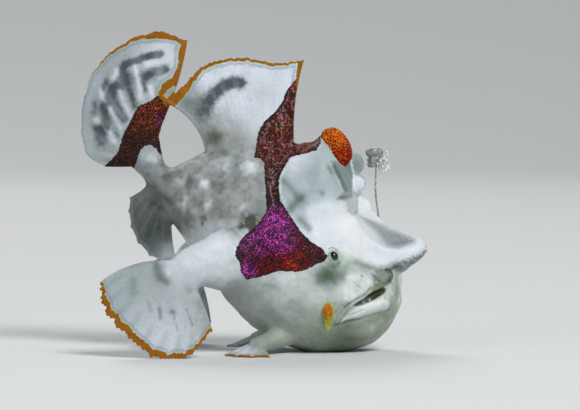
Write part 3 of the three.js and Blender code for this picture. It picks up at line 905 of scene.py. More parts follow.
# The mouth's lining, brown and olive, with painted shade at its left end.
MOUTH_TONES = {
    Tone.MOUTH_BROWN: ((375, 295, 5),),
    Tone.MOUTH_OLIVE: ((387, 290, 5),),
    Tone.SHADE: ((360, 303, 7),),
}
CLOUDINESS = {
    Tone.CLEAR: (
        (360, 235, 40), (310, 185, 24), (215, 255, 18), (130, 85, 40), (245, 95, 34),
        (150, 310, 40), (410, 255, 14),
    ),
    Tone.CLOUDY: ((300, 300, 34), (360, 300, 26)),
    Tone.CLOUDY_MOST: ((215, 185, 40), (205, 125, 20), (150, 205, 26)),
}
# Soft marks: spots of the skin's own, with painted shade and painted highlights among them, as noted
# below.
STAINS = (
    # Painted shade in the hump's dimple and under the tip wart.
    Mark(Tone.DISH, 12, 0.6, (309, 171)), Mark(Tone.MOSS, 8, 0.4, (357, 163)),
    # Painted shade under the tip wart, under the eye, on the cheek and under the bill.
    Mark(Tone.ASH, 9, 0.35, (357, 163)), Mark(Tone.SHADE, 12, 0.95, (329, 276)),
    Mark(Tone.MOSS, 9, 0.75, (330, 277)), Mark(Tone.MOSS, 6, 0.45, (345, 268)),
    Mark(Tone.ASH, 8, 0.3, (318, 281)), Mark(Tone.MOSS, 7, 0.4, (381, 281)),
    # Painted shade under the bill, then painted highlights on the cheek in the lip's pale tone, on this
    # line and the next.
    Mark(Tone.MOSS, 6, 0.35, (368, 268)), Mark(Tone.LIP, 12, 0.6, (284, 286)),
    Mark(Tone.LIP, 10, 0.45, (320, 300)), Mark(Tone.LIP, 8, 0.45, (346, 292)),
    # Painted shade on and under the chin; the white spot on the next line is the chin's own.
    Mark(Tone.ASH, 9, 0.4, (348, 327)), Mark(Tone.MOSS, 14, 0.35, (350, 343)),
    Mark(Tone.MOSS, 12, 0.3, (320, 339)), Mark(Tone.LIP, 3, 0.5, (373, 329)),
    # The eye's green fringe, then painted shade under the eye.
    Mark(Tone.GLOW, 3.4, 0.4, (341, 259)), Mark(Tone.MOSS, 3.0, 0.6, (337, 262.5)),
    Mark(Tone.ASH, 5, 0.5, (240, 177)), Mark(Tone.ASH, 4, 0.5, (195, 184)),
    Mark(Tone.ASH, 6, 0.5, (235, 141)), Mark(Tone.OLIVE, 10, 0.75, (214.5, 138)),
    # Painted shadow in the hollow between the body and the arm, then a grey spot.
    Mark(Tone.MOSS, 16, 0.4, (175, 228)), Mark(Tone.ASH, 9, 0.4, (214, 216)),
    Mark(Tone.BILL, 6, 0.95, (203.5, 183.5)), Mark(Tone.BILL, 8, 0.9, (225, 164)),
    Mark(Tone.BILL, 9, 0.9, (250, 165)), Mark(Tone.ASH, 5, 0.4, (236, 190)),
    Mark(Tone.BILL, 5, 0.5, (180, 180)), Mark(Tone.BILL, 4, 0.6, (243, 208)),
    Mark(Tone.SHADE, 5, 0.45, (223, 150)), Mark(Tone.SHADE, 5, 0.35, (245, 176)),
    Mark(Tone.ASH, 8, 0.4, (160, 275)), Mark(Tone.BILL, 5, 0.6, (168, 271)),
    # Painted shade low on the arm and next to the cheek.
    Mark(Tone.ASH, 5, 0.4, (189, 289)), Mark(Tone.ASH, 6, 0.3, (233, 262)),
    Mark(Tone.SHADE, 8, 0.75, (203, 110)), Mark(Tone.ASH, 9, 0.4, (189, 106)),
    Mark(Tone.BILL, 5, 0.7, (185, 201)), Mark(Tone.BILL, 4.5, 0.9, (208.5, 207)),
    Mark(Tone.MOSS, 4, 0.4, (161, 165)), Mark(Tone.BILL, 8, 0.5, (149, 160)),
    Mark(Tone.FIN_GREY, 10, 0.3, (262, 92)), Mark(Tone.FIN_GREY, 12, 0.35, (122, 60)),
    Mark(Tone.FIN_GREY, 14, 0.4, (104, 140)), Mark(Tone.FIN_GREY, 10, 0.3, (96, 100)),
    Mark(Tone.SHADE, 15, 0.6, (120, 88)), Mark(Tone.SHADE, 14, 0.6, (104, 120)),
    Mark(Tone.SHADE, 10, 0.4, (142, 80)),
)
VALLEY_OUTLINE = (
    (331, 160), (336, 161), (343, 166), (352, 163), (352.6, 172), (352.2, 183), (351, 190),
    (351, 198), (343, 201), (339, 197), (344, 191), (340, 181), (334, 170),
)
AREAS = (
    Area(
        Tone.BILL, 3.0, 0.6,
        (306, 208), (313, 203), (325, 202.5), (334, 203), (341, 203), (344, 207), (347, 213),
        (353, 221), (360, 230), (367, 239), (377, 247), (391, 252), (405, 250), (418, 244),
        (428, 246), (426, 252), (420, 257), (406, 262), (392, 265), (378, 264), (364, 260),
        (352, 256), (343, 248), (330, 245), (318, 236), (308, 224),
    ),
    # Painted shade in the groove down the hump.
    Area(Tone.VALLEY, 1.2, 0.6, *VALLEY_OUTLINE),
    # Painted shade on the keel's side.
    Area(
        Tone.DISH, 1.2, 0.6,
        (345, 200), (352, 192), (357.5, 192), (357.6, 214), (352, 216), (347.5, 212),
    ),
    Area(
        Tone.BILL, 0.7, 0.9,
        (353.5, 174), (360.5, 176), (364.5, 181), (364, 187), (360, 193), (356.6, 193), (354, 190),
        (352.4, 183),
    ),
    Area(
        Tone.LIP, 0.8, 0.8,
        (358, 196.5), (364, 198), (371, 201), (372, 207), (373, 212), (386, 222), (371, 219),
        (358, 213),
    ),
    # Painted shade in the bill's hollow top.
    Area(
        Tone.DISH, 5.5, 1.0,
        (357, 213), (377, 221.5), (390.5, 228.5), (404, 233.5), (415, 239), (414, 243.5),
        (406, 247), (397.5, 248.7), (389, 247), (381, 240), (375, 232), (367, 224), (360, 217.5),
    ),
    Area(
        Tone.SHADE, 3.2, 0.6,
        (381, 266), (391, 263.5), (402, 261), (412, 257.5), (421, 253), (429, 250), (429, 254),
        (421, 262), (409, 271), (398, 275), (390, 270),
    ),
    Area(
        Tone.LIP, 1.6, 0.7,
        (346, 276), (354, 274), (361, 272), (364, 274), (369, 278), (372.4, 282), (372, 285.5),
        (369, 289), (365, 294), (357, 298.5), (350, 302.5), (344, 300), (345, 288),
    ),
    # Painted shade on the lobe under the bill.
    Area(
        Tone.LOBE, 2.4, 0.85,
        (374, 271), (380, 268.5), (387, 268.5), (391.5, 273), (391.5, 279), (388, 283),
        (378, 279.5),
    ),
    Area(
        Tone.MOUTH_OLIVE, 1.3, 0.75,
        (371, 273), (376, 276), (381, 282), (388, 283), (388, 286), (379, 289), (373, 292),
        (370, 292), (373.5, 285), (373.5, 280),
    ),
    Area(
        Tone.LIP, 1.3, 0.85,
        (344, 317), (352, 310.5), (362, 306), (372, 302.5), (382, 299), (387, 300), (389, 305),
        (387.5, 309.5), (382, 311), (375, 312.5), (367, 315), (360, 317.5), (350, 319.5),
        (341, 322),
    ),
    Area(
        Tone.BAND_OLIVE, 1.6, 0.6,
        (393.5, 271), (399.5, 273), (401, 283), (402, 295), (400, 305), (394, 316), (386, 323),
        (385, 314), (391, 305), (392, 296), (391, 285), (393.5, 277),
    ),
)
STROKES = (
    # Painted shadow in the crevice beside the front band, along its crease.
    Mark(
        Tone.OLIVE, 1.8, 0.9,
        (386.4, 269.7), (390, 270.3), (392.7, 274), (392.4, 277.6), (389.5, 281.5),
        crease=(0.45, -0.9),
    ),
    Mark(Tone.LIP, 0.7, 0.8, (393.8, 270.5), (394.4, 276), (392.6, 281.5)),
    # Painted shade along the lower edge of the lobe under the bill.
    Mark(Tone.OLIVE, 0.9, 0.4, (375, 276), (379, 280.5), (383, 283), (388, 283)),
    Mark(Tone.LIP, 0.7, 0.5, (362, 266.5), (365, 269), (369, 270.5), (374, 271), crease=(0.35, 0.22)),
    # Painted shade in two creases of the upper lip.
    Mark(Tone.ASH, 0.7, 0.5, (354, 281.8), (356.7, 285.5), (360.5, 288.7), crease=(0.28, -0.28)),
    Mark(Tone.ASH, 0.5, 0.3, (357.5, 281), (361, 285), crease=(0.22, -0.16)),
    Mark(
        Tone.BILL, 0.8, 0.8,
        (359.3, 275.6), (360.4, 273.6), (362.8, 273.6), (363.9, 275.8), (362.4, 277.8),
        (360.2, 277.4), (359.3, 275.6),
    ),
    # Painted shade in the nostril's hole.
    Mark(Tone.MOSS, 1.1, 0.85, (361.4, 275.8), (361.9, 275.8)),
    Mark(Tone.LIP, 0.9, 0.8, (376, 282.4), (376.3, 282.4)),
    # Painted shade along the upper lip's lower edge.
    Mark(
        Tone.MOSS, 0.9, 0.5,
        (344, 308), (350, 303.5), (357, 299.3), (362.3, 297), (366, 294.3), (370, 289.5),
        (373, 285),
    ),
    # Painted shade along the lower lip's lower edge and under it.
    Mark(
        Tone.MOSS, 1.1, 0.5,
        (334, 325), (342, 322), (350, 320.4), (360, 318.6), (368, 316), (376, 313.4), (383, 312),
        (389, 310),
    ),
    Mark(Tone.MOSS, 3.2, 0.35, (366, 319), (376, 316), (386, 314)),
    # Painted shade in the creases by the mouth's corners.
    Mark(Tone.ASH, 0.6, 0.4, (341, 320), (347, 315.5), (356, 311.8), (363, 309), crease=(0.3, -0.25)),
    Mark(
        Tone.ASH, 0.8, 0.55,
        (350, 303.5), (344, 308.5), (338, 315), (334, 323),
        crease=(0.4, -0.45),
    ),
    Mark(Tone.ASH, 0.6, 0.45, (353, 306), (347, 311), (341, 318), (337, 325), crease=(0.35, -0.35)),
    Mark(Tone.ASH, 0.6, 0.35, (347, 302), (340, 307.5), (335, 314), crease=(0.4, -0.25)),
    Mark(Tone.MOSS, 0.9, 0.4, (389.5, 309), (391, 304), (389.5, 299)),
    Mark(Tone.BILL, 0.9, 1.0, (369.6, 299.2), (369.9, 301.5)),
    Mark(Tone.BILL, 0.9, 1.0, (363.4, 302.2), (363.8, 303.8)),
    Mark(Tone.BILL, 0.9, 1.0, (382.5, 296.8), (382.9, 298.7)),
    Mark(Tone.BILL, 0.9, 0.7, (390.5, 290.5), (391.8, 292.7), (393, 295)),
    Mark(Tone.LIP, 0.9, 0.6, (399.5, 276), (400.5, 286), (400.5, 296), (398, 306)),
    # Painted shade in a crease of the front band and in the pocket under the bill.
    Mark(Tone.MOSS, 0.8, 0.3, (396, 276), (397, 288), (396.5, 300), crease=(0.4, -0.2)),
    Mark(Tone.MOSS, 2.2, 0.6, (393, 269.5), (399, 269.5)),
    # Painted shade along the face under the bill.
    Mark(Tone.LOBE, 3.4, 0.6, (356, 262), (366, 266.5), (380, 269.5)),
    # Painted shade in the crease round the eye and under it.
    Mark(
        Tone.OLIVE, 0.7, 0.5,
        (329, 249), (332, 247.6), (336, 249), (339.5, 254), (339, 260), (334, 263),
    ),
    Mark(Tone.ASH, 1.0, 0.5, (328, 258), (333, 265), (341, 268)),
    Mark(Tone.BILL, 1.0, 0.8, (320, 146), (309, 151), (298, 154.5), (290, 160.5)),
    Mark(Tone.BILL, 1.0, 0.8, (284, 169), (280, 179), (280, 192), (284, 204), (291, 215)),
    Mark(Tone.BILL, 1.0, 0.8, (291, 215), (299, 227), (307, 237), (315, 243.5), (324, 250)),
    Mark(Tone.CREAM, 5.0, 0.4, (333, 212), (345, 225), (357, 240), (372, 252)),
    # Painted highlights along the bill's near ridge and its far rim.
    Mark(Tone.BILL, 1.6, 0.7, (366, 236), (374, 244.5), (385, 250), (397, 251), (408, 248)),
    Mark(Tone.BILL, 0.9, 0.8, (358, 213), (371, 218.5), (386, 223), (402, 229), (416, 236)),
    # Painted shade low on the hump and in its dimple.
    Mark(Tone.ASH, 3.6, 0.75, (284, 181), (288, 185), (293, 190), (297, 196), (300, 199)),
    Mark(Tone.SHADE, 4.8, 0.75, (302, 198), (297, 202), (290, 209)),
    Mark(Tone.ASH, 3.2, 0.7, (301, 220), (305, 224), (309, 229)),
    Mark(Tone.ASH, 2.3, 0.6, (321.5, 192.5), (322.5, 194.5)),
    # Painted shade left of the tip wart's foot, a greenish speck, and painted shade in the groove down
    # the hump.
    Mark(Tone.ASH, 1.8, 0.6, (328, 167), (330, 170), (332, 173)),
    Mark(Tone.MOSS, 1.7, 0.7, (338.5, 198.5), (342, 197.2), (345, 197)),
    Mark(Tone.MOSS, 1.9, 0.6, (334.5, 167), (338, 173), (342, 181), (345.5, 190)),
    Mark(Tone.BILL, 0.7, 0.9, (351.2, 160), (352, 167), (353.4, 174)),
    # Painted shade along both sides of the keel.
    Mark(Tone.MOSS, 0.7, 0.4, (351.4, 188), (351.6, 197)),
    Mark(Tone.ASH, 0.5, 0.4, (357.8, 195), (357.6, 204), (357.6, 213)),
    # Painted shade on the hump.
    Mark(Tone.DISH, 4.0, 0.3, (316, 160), (315, 172), (318, 182)),
    Mark(Tone.SHADE, 4.0, 0.7, (156.6, 265), (158, 273), (161, 278.5), (166.5, 282)),
    Mark(Tone.SHADE, 5.5, 0.4, (133, 280), (133, 292)),
    Mark(Tone.SHADE, 1.6, 0.6, (158.9, 308.5), (160.4, 318.5)),
    Mark(Tone.SHADE, 2.6, 0.75, (172.2, 311.5), (173, 312.3)),
    Mark(Tone.ASH, 0.8, 0.6, (174, 316), (175, 320.5), (177.3, 330.5)),
    Mark(Tone.ASH, 1.1, 0.6, (186.5, 309), (189, 316), (192.6, 326)),
    Mark(Tone.ASH, 2.0, 0.4, (149, 303), (151, 311)),
    Mark(Tone.ASH, 2.0, 0.4, (199, 302), (200.5, 308)),
    # Painted shadow between the tail and the anal fin.
    Mark(Tone.SHADE, 3.0, 0.6, (130, 175), (152, 187), (172, 202)),
    Mark(Tone.ASH, 4.0, 0.6, (186, 100), (196, 102), (204, 110)),
    Mark(Tone.LIP, 3.0, 0.5, (178, 118), (186, 128), (196, 136)),
    Mark(Tone.BILL, 2.6, 0.9, (134.5, 66), (138, 79), (140.5, 98)),
    Mark(Tone.BILL, 3.0, 0.9, (147, 64), (157, 62)),
    Mark(Tone.BILL, 3.0, 0.9, (150.5, 87), (152.5, 95)),
    Mark(Tone.BILL, 3.0, 0.9, (120, 92), (124, 103), (129, 115)),
    Mark(Tone.BILL, 2.6, 0.9, (109.5, 109), (115, 118), (121, 127)),
    Mark(Tone.BILL, 3.4, 0.9, (110, 132.5), (114, 139)),
    Mark(Tone.BILL, 3.2, 0.8, (96, 119), (97, 122)),
    Mark(Tone.BILL, 3.0, 0.8, (113, 79), (117, 71)),
    Mark(Tone.BILL, 2.4, 0.7, (101.5, 91), (102, 98)),
)
# Dark blotches; the two above the arm are a painted shadow in the gap between arm and flank.
BLOTCHES = ((251, 222, 9), (243, 226, 5), (202, 220, 4))
LEFT_WOBBLE = 5.0  # pixels by which the left side's markings differ
WOBBLE_CELL = 9.0  # mm between their changes
RAGGED = ((3.0, 2.4), (1.5, 1.0))  # pixels and cells in mm of the soft marks' ragged edges
FINE_RAGGED = (0.7, 0.9)  # the same for the sharp ones
CREASED_FADE = 4  # pixels over which the wrinkles of neck and nape set in


def push_about(points: np.ndarray, reach: float, cell_mm: float) -> np.ndarray:
    """Smooth random offsets, across and down, of a reach that change over cells of that size."""
    return reach * np.stack([Noise(seed)(points, cell_mm) for seed in (31, 32)], axis=1)


def marking_places(points: np.ndarray) -> np.ndarray:
    """Photograph pixels of points, with the left side's pushed about a little by noise."""
    left = smooth_step(points[:, 1] - tail_swing(points[:, 0]), -1, 4)
    return VIEW.pixels(points) + left[:, None] * push_about(points, LEFT_WOBBLE, WOBBLE_CELL)


def add_markings(shell: Shell) -> np.ndarray:
    """Gives a shell the layers that its finish reads.

    Args:
        shell: the surface; its layers ground, cloud, tone, wrinkle, patch and dark are set, the ground
            and the dark with painted shade among their marks.

    Returns:
        The pixels of its points, for markings of its own.
    """
    places = marking_places(shell.points)
    depths = [outline_distance(places, line) for line in (CHEEK, PEDUNCLE, NECK, NAPE)]
    shell.layers["patch"] = np.max(depths, axis=0)
    shell.layers["wrinkle"] = smooth_step(np.max(depths[2:], axis=0), 0, CREASED_FADE)
    ragged = places + sum(push_about(shell.points, *pair) for pair in RAGGED)
    exact = VIEW.pixels(shell.points) + push_about(shell.points, *FINE_RAGGED)
    ground = marked(blended(ragged, GROUND_TONES), ragged, STAINS)
    shell.layers["ground"] = marked(ground, exact, (*AREAS, *STROKES))
    shell.layers["tone"] = blended(places, PATCH_TONES)
    shell.layers["cloud"] = blended(places, CLOUDINESS)[:, 0]
    blots = [radius - path_distance(places, [(x, y)]) for x, y, radius in BLOTCHES]
    shell.layers["dark"] = np.max(blots, axis=0)
    return places


# Shader graphs


class Value:
    """An output in a shader graph; arithmetic with it adds Math nodes."""

    def __init__(self, graph: "Graph", socket: bpy.types.NodeSocket) -> None:
        """Keeps the graph and the socket."""
        self.graph, self.socket = graph, socket

    def __add__(self, other: "Value | float") -> "Value":
        """The sum."""
        return self.graph.math("ADD", self, other)

    def __sub__(self, other: "Value | float") -> "Value":
        """The difference."""
        return self.graph.math("SUBTRACT", self, other)

    def __mul__(self, other: "Value | float") -> "Value":
        """The product."""
        return self.graph.math("MULTIPLY", self, other)

    def __abs__(self) -> "Value":
        """The value without its sign."""
        return self.graph.math("ABSOLUTE", self)

    def also(self, output: str) -> "Value":
        """Another output of the same node."""
        return Value(self.graph, self.socket.node.outputs[output])


class Graph:
    """Adds shader nodes to a tree and joins them."""

    def __init__(self, tree: bpy.types.NodeTree) -> None:
        """Keeps the tree."""
        self.tree = tree

    def join(self, node: bpy.types.Node, inputs: dict) -> None:
        """Links a node's inputs or sets them.

        Args:
            node: the node.
            inputs: a value to link or a plain one to set, for each input's name or number; a
                colour is its red, green and blue.
        """
        for name, value in inputs.items():
            socket = node.inputs[name]
            if isinstance(value, Value):
                self.tree.links.new(value.socket, socket)
            elif socket.type == "RGBA":
                socket.default_value = (*value, 1.0)
            else:
                socket.default_value = value

    def add(self, kind: str, inputs: dict, output: int | str = 0, **settings: object) -> Value:
        """Adds one node.

        Args:
            kind: the node's type, without its leading ShaderNode.
            inputs: what its inputs are joined to or set to.
            output: the name or number of the output that is wanted.
            settings: the node's own settings.

        Returns:
            That output.
        """
        node = self.tree.nodes.new("ShaderNode" + kind)
        for name, value in settings.items():
            setattr(node, name, value)
        self.join(node, inputs)
        return Value(self, node.outputs[output])

    def attribute(self, name: str, output: str = "Fac") -> Value:
        """An attribute of the piece, as a value or as its Color."""
        return self.add("Attribute", {}, output, attribute_name=name)

    def place(self) -> Value:
        """Object coordinates, in metres."""
        return self.add("TexCoord", {}, "Object")

    def math(self, operation: str, *values: Value | float) -> Value:
        """One step of arithmetic."""
        return self.add("Math", dict(enumerate(values)), operation=operation)

    def mix(self, factor: object, first: object, second: object) -> Value:
        """Two colours mixed by a factor."""
        return self.add("Mix", {0: factor, 6: first, 7: second}, 2, data_type="RGBA")

    def times(self, first: object, second: object) -> Value:
        """Two colours multiplied."""
        sockets = {0: 1.0, 6: first, 7: second}
        return self.add("Mix", sockets, 2, data_type="RGBA", blend_type="MULTIPLY")

    def scaled(self, vector: Value, gain: object) -> Value:
        """A vector or a colour times a value."""
        return self.add("VectorMath", {0: vector, "Scale": gain}, operation="SCALE")

    def between(self, value: Value, low: float, high: float) -> Value:
        """0 below low and 1 above high, or the other way round where low is the larger."""
        inputs = {"Value": value, "From Min": low, "From Max": high}
        return self.add("MapRange", inputs, interpolation_type="SMOOTHSTEP")

    def noise(self, place: Value, cell_mm: float, detail: float = 2.0) -> Value:
        """Smooth noise around a half, with cells of that size."""
        inputs = {"Vector": place, "Scale": 1 / (MM * cell_mm), "Detail": detail}
        return self.add("TexNoise", inputs, "Fac")

    def wander(self, place: Value, cell_mm: float, detail: float, reach: float) -> Value:
        """Smooth noise around nought, of that reach."""
        return (self.noise(place, cell_mm, detail) - 0.5) * reach

    def cells(self, place: Value, cell_mm: float) -> Value:
        """The distance from the middle of cells of that size; their Color is a random one."""
        return self.add("TexVoronoi", {"Vector": place, "Scale": 1 / (MM * cell_mm)}, "Distance")

    def bump(self, height: Value, strength: float, depth_mm: float) -> Value:
        """A normal bent by a height."""
        inputs = {"Strength": strength, "Distance": depth_mm * MM, "Height": height}
        return self.add("Bump", inputs)


class Effect:
    """A node group shared by finishes: its named inputs and outputs, and how it is filled."""

    kinds = {"colour": "NodeSocketColor", "value": "NodeSocketFloat", "vector": "NodeSocketVector"}

    def __init__(self, name: str, takes: dict[str, str], gives: dict[str, str]) -> None:
        """Makes an empty group.

        Args:
            name: the group's name.
            takes: its inputs, each a colour, value or vector.
            gives: its outputs.
        """
        self.tree = bpy.data.node_groups.new(name, "ShaderNodeTree")
        for way, sockets in (("INPUT", takes), ("OUTPUT", gives)):
            for label, kind in sockets.items():
                self.tree.interface.new_socket(label, in_out=way, socket_type=self.kinds[kind])
        self.graph = Graph(self.tree)
        inside = self.tree.nodes.new("NodeGroupInput").outputs
        self.inside = [Value(self.graph, inside[label]) for label in takes]
        self.out = self.tree.nodes.new("NodeGroupOutput")

    def use(self, graph: Graph, *inputs: Value) -> Value:
        """Places the group in a material's graph, with its inputs in order."""
        return graph.add("Group", dict(enumerate(inputs)), node_tree=self.tree)


class SkinEffects:
    """The effects that the fish's finishes share."""

    granule_mm: float = 0.54
    speck_mm: float = 0.3
    prickle_mm: float = 0.7
    pale_pink: Tint = (0.55, 0.4, 0.45)
    vein_pink: Tint = (0.48, 0.3, 0.34)
    rust_orange: Tint = (0.5, 0.2, 0.02)
    cloud_grey: Tint = (0.42, 0.47, 0.46)

    def __init__(self) -> None:
        """Builds the groups once."""
        self.granules = self.make_granules()
        self.mottle = self.make_mottle()
        self.hide = self.make_hide()

    def make_granules(self) -> Effect:
        """Dark-edged granules: a tone brightened in the middle of cells and dark between them.

        A few turn pale pink as painted glints; veins and rusty flecks are laid over them where the skin
        is wrinkled.

        Returns:
            The group; its height is the brightness.
        """
        takes = {"Vector": "vector", "Tone": "colour", "Contrast": "value", "Wrinkles": "value"}
        effect = Effect("granules", takes, {"Color": "colour", "Height": "value"})
        graph = effect.graph
        place, tone, contrast, wrinkles = effect.inside
        warp = graph.add("TexNoise", {"Vector": place, "Scale": 900.0, "Detail": 1.0}, "Color")
        nudge = graph.scaled(warp, 0.0005)
        nudged = graph.add("VectorMath", {0: place, 1: nudge}, operation="ADD")
        large = graph.cells(nudged, self.granule_mm)
        dome = graph.between(large, 0.6, 0.1)
        pick = graph.add("SeparateColor", {0: large.also("Color")})
        speck = graph.between(graph.cells(nudged, self.speck_mm), 0.5, 0.15)
        light = dome * (pick * 0.8 + 0.4) + speck * 0.3
        cloud = graph.between(graph.noise(place, 2.2, 3.0), 0.36, 0.64) * 0.75 + 0.5
        bright = graph.scaled(tone, (light * contrast + 0.06) * cloud)
        # Painted glints: a few granules turned pale pink.
        pale = graph.math("GREATER_THAN", pick, 0.975) * dome * 0.22
        glinting = graph.mix(pale, bright, self.pale_pink)
        tall = graph.add("Mapping", {"Vector": place, "Scale": (1.0, 1.0, 0.45)})
        vein = abs(graph.noise(tall, 2.4, 4.0) - 0.5)
        vein = graph.between(vein, 0.06, 0.0) * wrinkles * (light * 0.6 + 0.2)
        rusty = graph.between(graph.noise(place, 1.2), 0.52, 0.63) * wrinkles * light
        glinting = graph.mix(rusty * 0.6, glinting, self.rust_orange)
        colour = graph.mix(vein, glinting, self.vein_pink)
        graph.join(effect.out, {"Color": colour, "Height": light})
        return effect

    def make_mottle(self) -> Effect:
        """Soft cloudy variation of a pale ground: large clouds, small clouds and fine grain.

        Returns:
            The group.
        """
        takes = {"Vector": "vector", "Ground": "colour", "Amount": "value"}
        effect = Effect("mottle", takes, {"Color": "colour"})
        graph = effect.graph
        place, ground, amount = effect.inside
        cloud = graph.between(graph.noise(place, 6.0, 3.0), 0.45, 0.62)
        small = graph.between(graph.noise(place, 2.0, 3.0), 0.47, 0.66)
        shade = (cloud * 0.6 + small * 0.4) * amount
        shaded = graph.mix(shade, ground, graph.times(ground, self.cloud_grey))
        grain = graph.noise(place, 0.5) * 0.36 + 0.82
        graph.join(effect.out, {"Color": graph.scaled(shaded, grain)})
        return effect

    def make_hide(self) -> Effect:
        """The skin's relief: soft pebbles, fine prickles and grain, as one height.

        Returns:
            The group.
        """
        effect = Effect("hide", {"Vector": "vector", "Prickle": "value"}, {"Height": "value"})
        graph = effect.graph
        place, amount = effect.inside
        pebble = graph.noise(place, 1.3, 3.0)
        prickle = graph.between(graph.cells(place, self.prickle_mm), 0.6, 0.1) * amount
        height = prickle * 0.5 + pebble * 0.8 + graph.noise(place, 0.22) * 0.22
        graph.join(effect.out, {"Height": height})
        return effect


# Finishes


@dataclass(frozen=True)
class Finish:
    """A material; each kind of finish works out the inputs of its shader."""

    name: str

    def inputs(self, graph: Graph) -> dict:
        """The shader's inputs, as values to link or plain ones."""
        raise NotImplementedError

    def material(self) -> bpy.types.Material:
        """Builds the material.

        Returns:
            A new material with one Principled shader.
        """
        material = bpy.data.materials.new(self.name)
        material.use_nodes = True
        graph = Graph(material.node_tree)
        graph.join(material.node_tree.nodes["Principled BSDF"], self.inputs(graph))
        return material


@dataclass(frozen=True)
class HideFinish(Finish):
    """The wet skin of the body and fins, which reads the markings in a piece's attributes."""

    effects: SkinEffects
    mottling: float = 0.95
    roughness: float = 0.34
    relief: float = 0.5
    is_fin: bool = False
    ray_shade: float = 0.14
    rim_dark: Tint = (0.012, 0.006, 0.008)
    pit_shade: Tint = (0.2, 0.24, 0.22)
    web_grey: Tint = (0.16, 0.2, 0.22)
    ray_grey: Tint = (0.42, 0.47, 0.49)
    line_blue: Tint = (0.16, 0.25, 0.36)
    line_green: Tint = (0.42, 0.5, 0.06)

    def inputs(self, graph: Graph) -> dict:
        """The mottled ground, with the red patch over it where the attribute patch is positive.

        Args:
            graph: the material's graph.

        Returns:
            The shader's inputs.
        """
        place = graph.place()
        patch = graph.wander(place, 0.9, 3.0, 3.2) + graph.attribute("patch")
        inside = graph.between(patch, -0.35, 0.35)
        amount = graph.attribute("cloud") * self.mottling
        ground = graph.attribute("ground", "Color")
        ground = self.dark_places(graph, place, self.effects.mottle.use(graph, place, ground, amount))
        if self.is_fin:
            ground = self.fin_marks(graph, place, ground)
        tone, wrinkles = graph.attribute("tone", "Color"), graph.attribute("wrinkle")
        granules = self.effects.granules.use(graph, place, tone, 2.3, wrinkles)
        rim = graph.between(patch, 3.6, 0.4) * 0.72
        colour = graph.mix(inside, ground, graph.mix(rim, granules, self.rim_dark))
        if self.is_fin:
            colour = self.margin(graph, place, colour, inside)
        prickle = graph.attribute("prickle")
        pits = graph.between(graph.cells(place, self.effects.prickle_mm), 0.34, 0.6) * prickle
        colour = graph.mix(pits * 0.75, colour, graph.times(colour, self.pit_shade))
        hide = self.effects.hide.use(graph, place, prickle)
        height = granules.also("Height") * inside * 0.7 + hide
        return {
            "Base Color": colour,
            "Roughness": inside * 0.16 + graph.noise(place, 3.0) * 0.25 + self.roughness,
            "Normal": graph.bump(height, self.relief, 0.24),
            "Subsurface Weight": 0.12,
            "Subsurface Radius": (1.0, 0.7, 0.6),
            "Subsurface Scale": 0.0012,
            "Specular IOR Level": 0.22,
        }

    def dark_places(self, graph: Graph, place: Value, colour: Value) -> Value:
        """Adds the olive and umber blotches, with ragged edges; the two above the arm are a painted
        shadow in the gap between arm and flank.

        Args:
            graph: the material's graph.
            place: the piece's coordinates.
            colour: what they lie on.

        Returns:
            The colour with them.
        """
        ragged = graph.wander(place, 1.6, 4.0, 14.0) + graph.attribute("dark")
        mixed = graph.mix(graph.noise(place, 1.1), Tone.OLIVE.linear, Tone.UMBER.linear)
        return graph.mix(graph.between(ragged, -1.5, 3.5) * 0.85, colour, mixed)

    def fin_marks(self, graph: Graph, place: Value, colour: Value) -> Value:
        """Adds darker web between the rays, slate streaks and faint rays.

        Args:
            graph: the material's graph.
            place: the piece's coordinates.
            colour: what they lie on.

        Returns:
            The colour with them.
        """
        colour = graph.mix(graph.attribute("gap"), colour, self.web_grey)
        streak = graph.wander(place, 1.2, 3.0, 0.9) + graph.attribute("slate")
        ray = graph.attribute("ray")
        bare = ray * -0.4 + 1.0
        slate = graph.between(streak, 0.0, 0.85) * 0.95 * bare
        colour = graph.mix(slate, colour, Tone.SLATE.linear)
        return graph.mix(ray * self.ray_shade, colour, self.ray_grey)

    def margin(self, graph: Graph, place: Value, colour: Value, red: Value) -> Value:
        """Adds the orange margin, with thin bluish and yellow-green lines where it meets white.

        Args:
            graph: the material's graph.
            place: the piece's coordinates.
            colour: what it lies on.
            red: the share of the red patch, where the lines are left out.

        Returns:
            The colour with it.
        """
        edge = graph.wander(place, 1.1, 3.0, 1.1) + graph.attribute("orange")
        white = red * -1.0 + 1.0
        blue = graph.between(abs(edge + 0.75), 0.75, 0.1) * 0.5 * white
        colour = graph.mix(blue, colour, self.line_blue)
        rusty = graph.between(graph.noise(place, 1.6, 3.0), 0.5, 0.68) * 0.4
        band = graph.mix(graph.noise(place, 0.7, 3.0), Tone.ORANGE.linear, Tone.AMBER.linear)
        band = graph.mix(rusty, band, Tone.RUST.linear)
        colour = graph.mix(graph.between(edge, -0.06, 0.06), colour, band)
        line = graph.between(abs(edge), 0.22, 0.04) * 0.6 * white
        return graph.mix(line, colour, self.line_green)


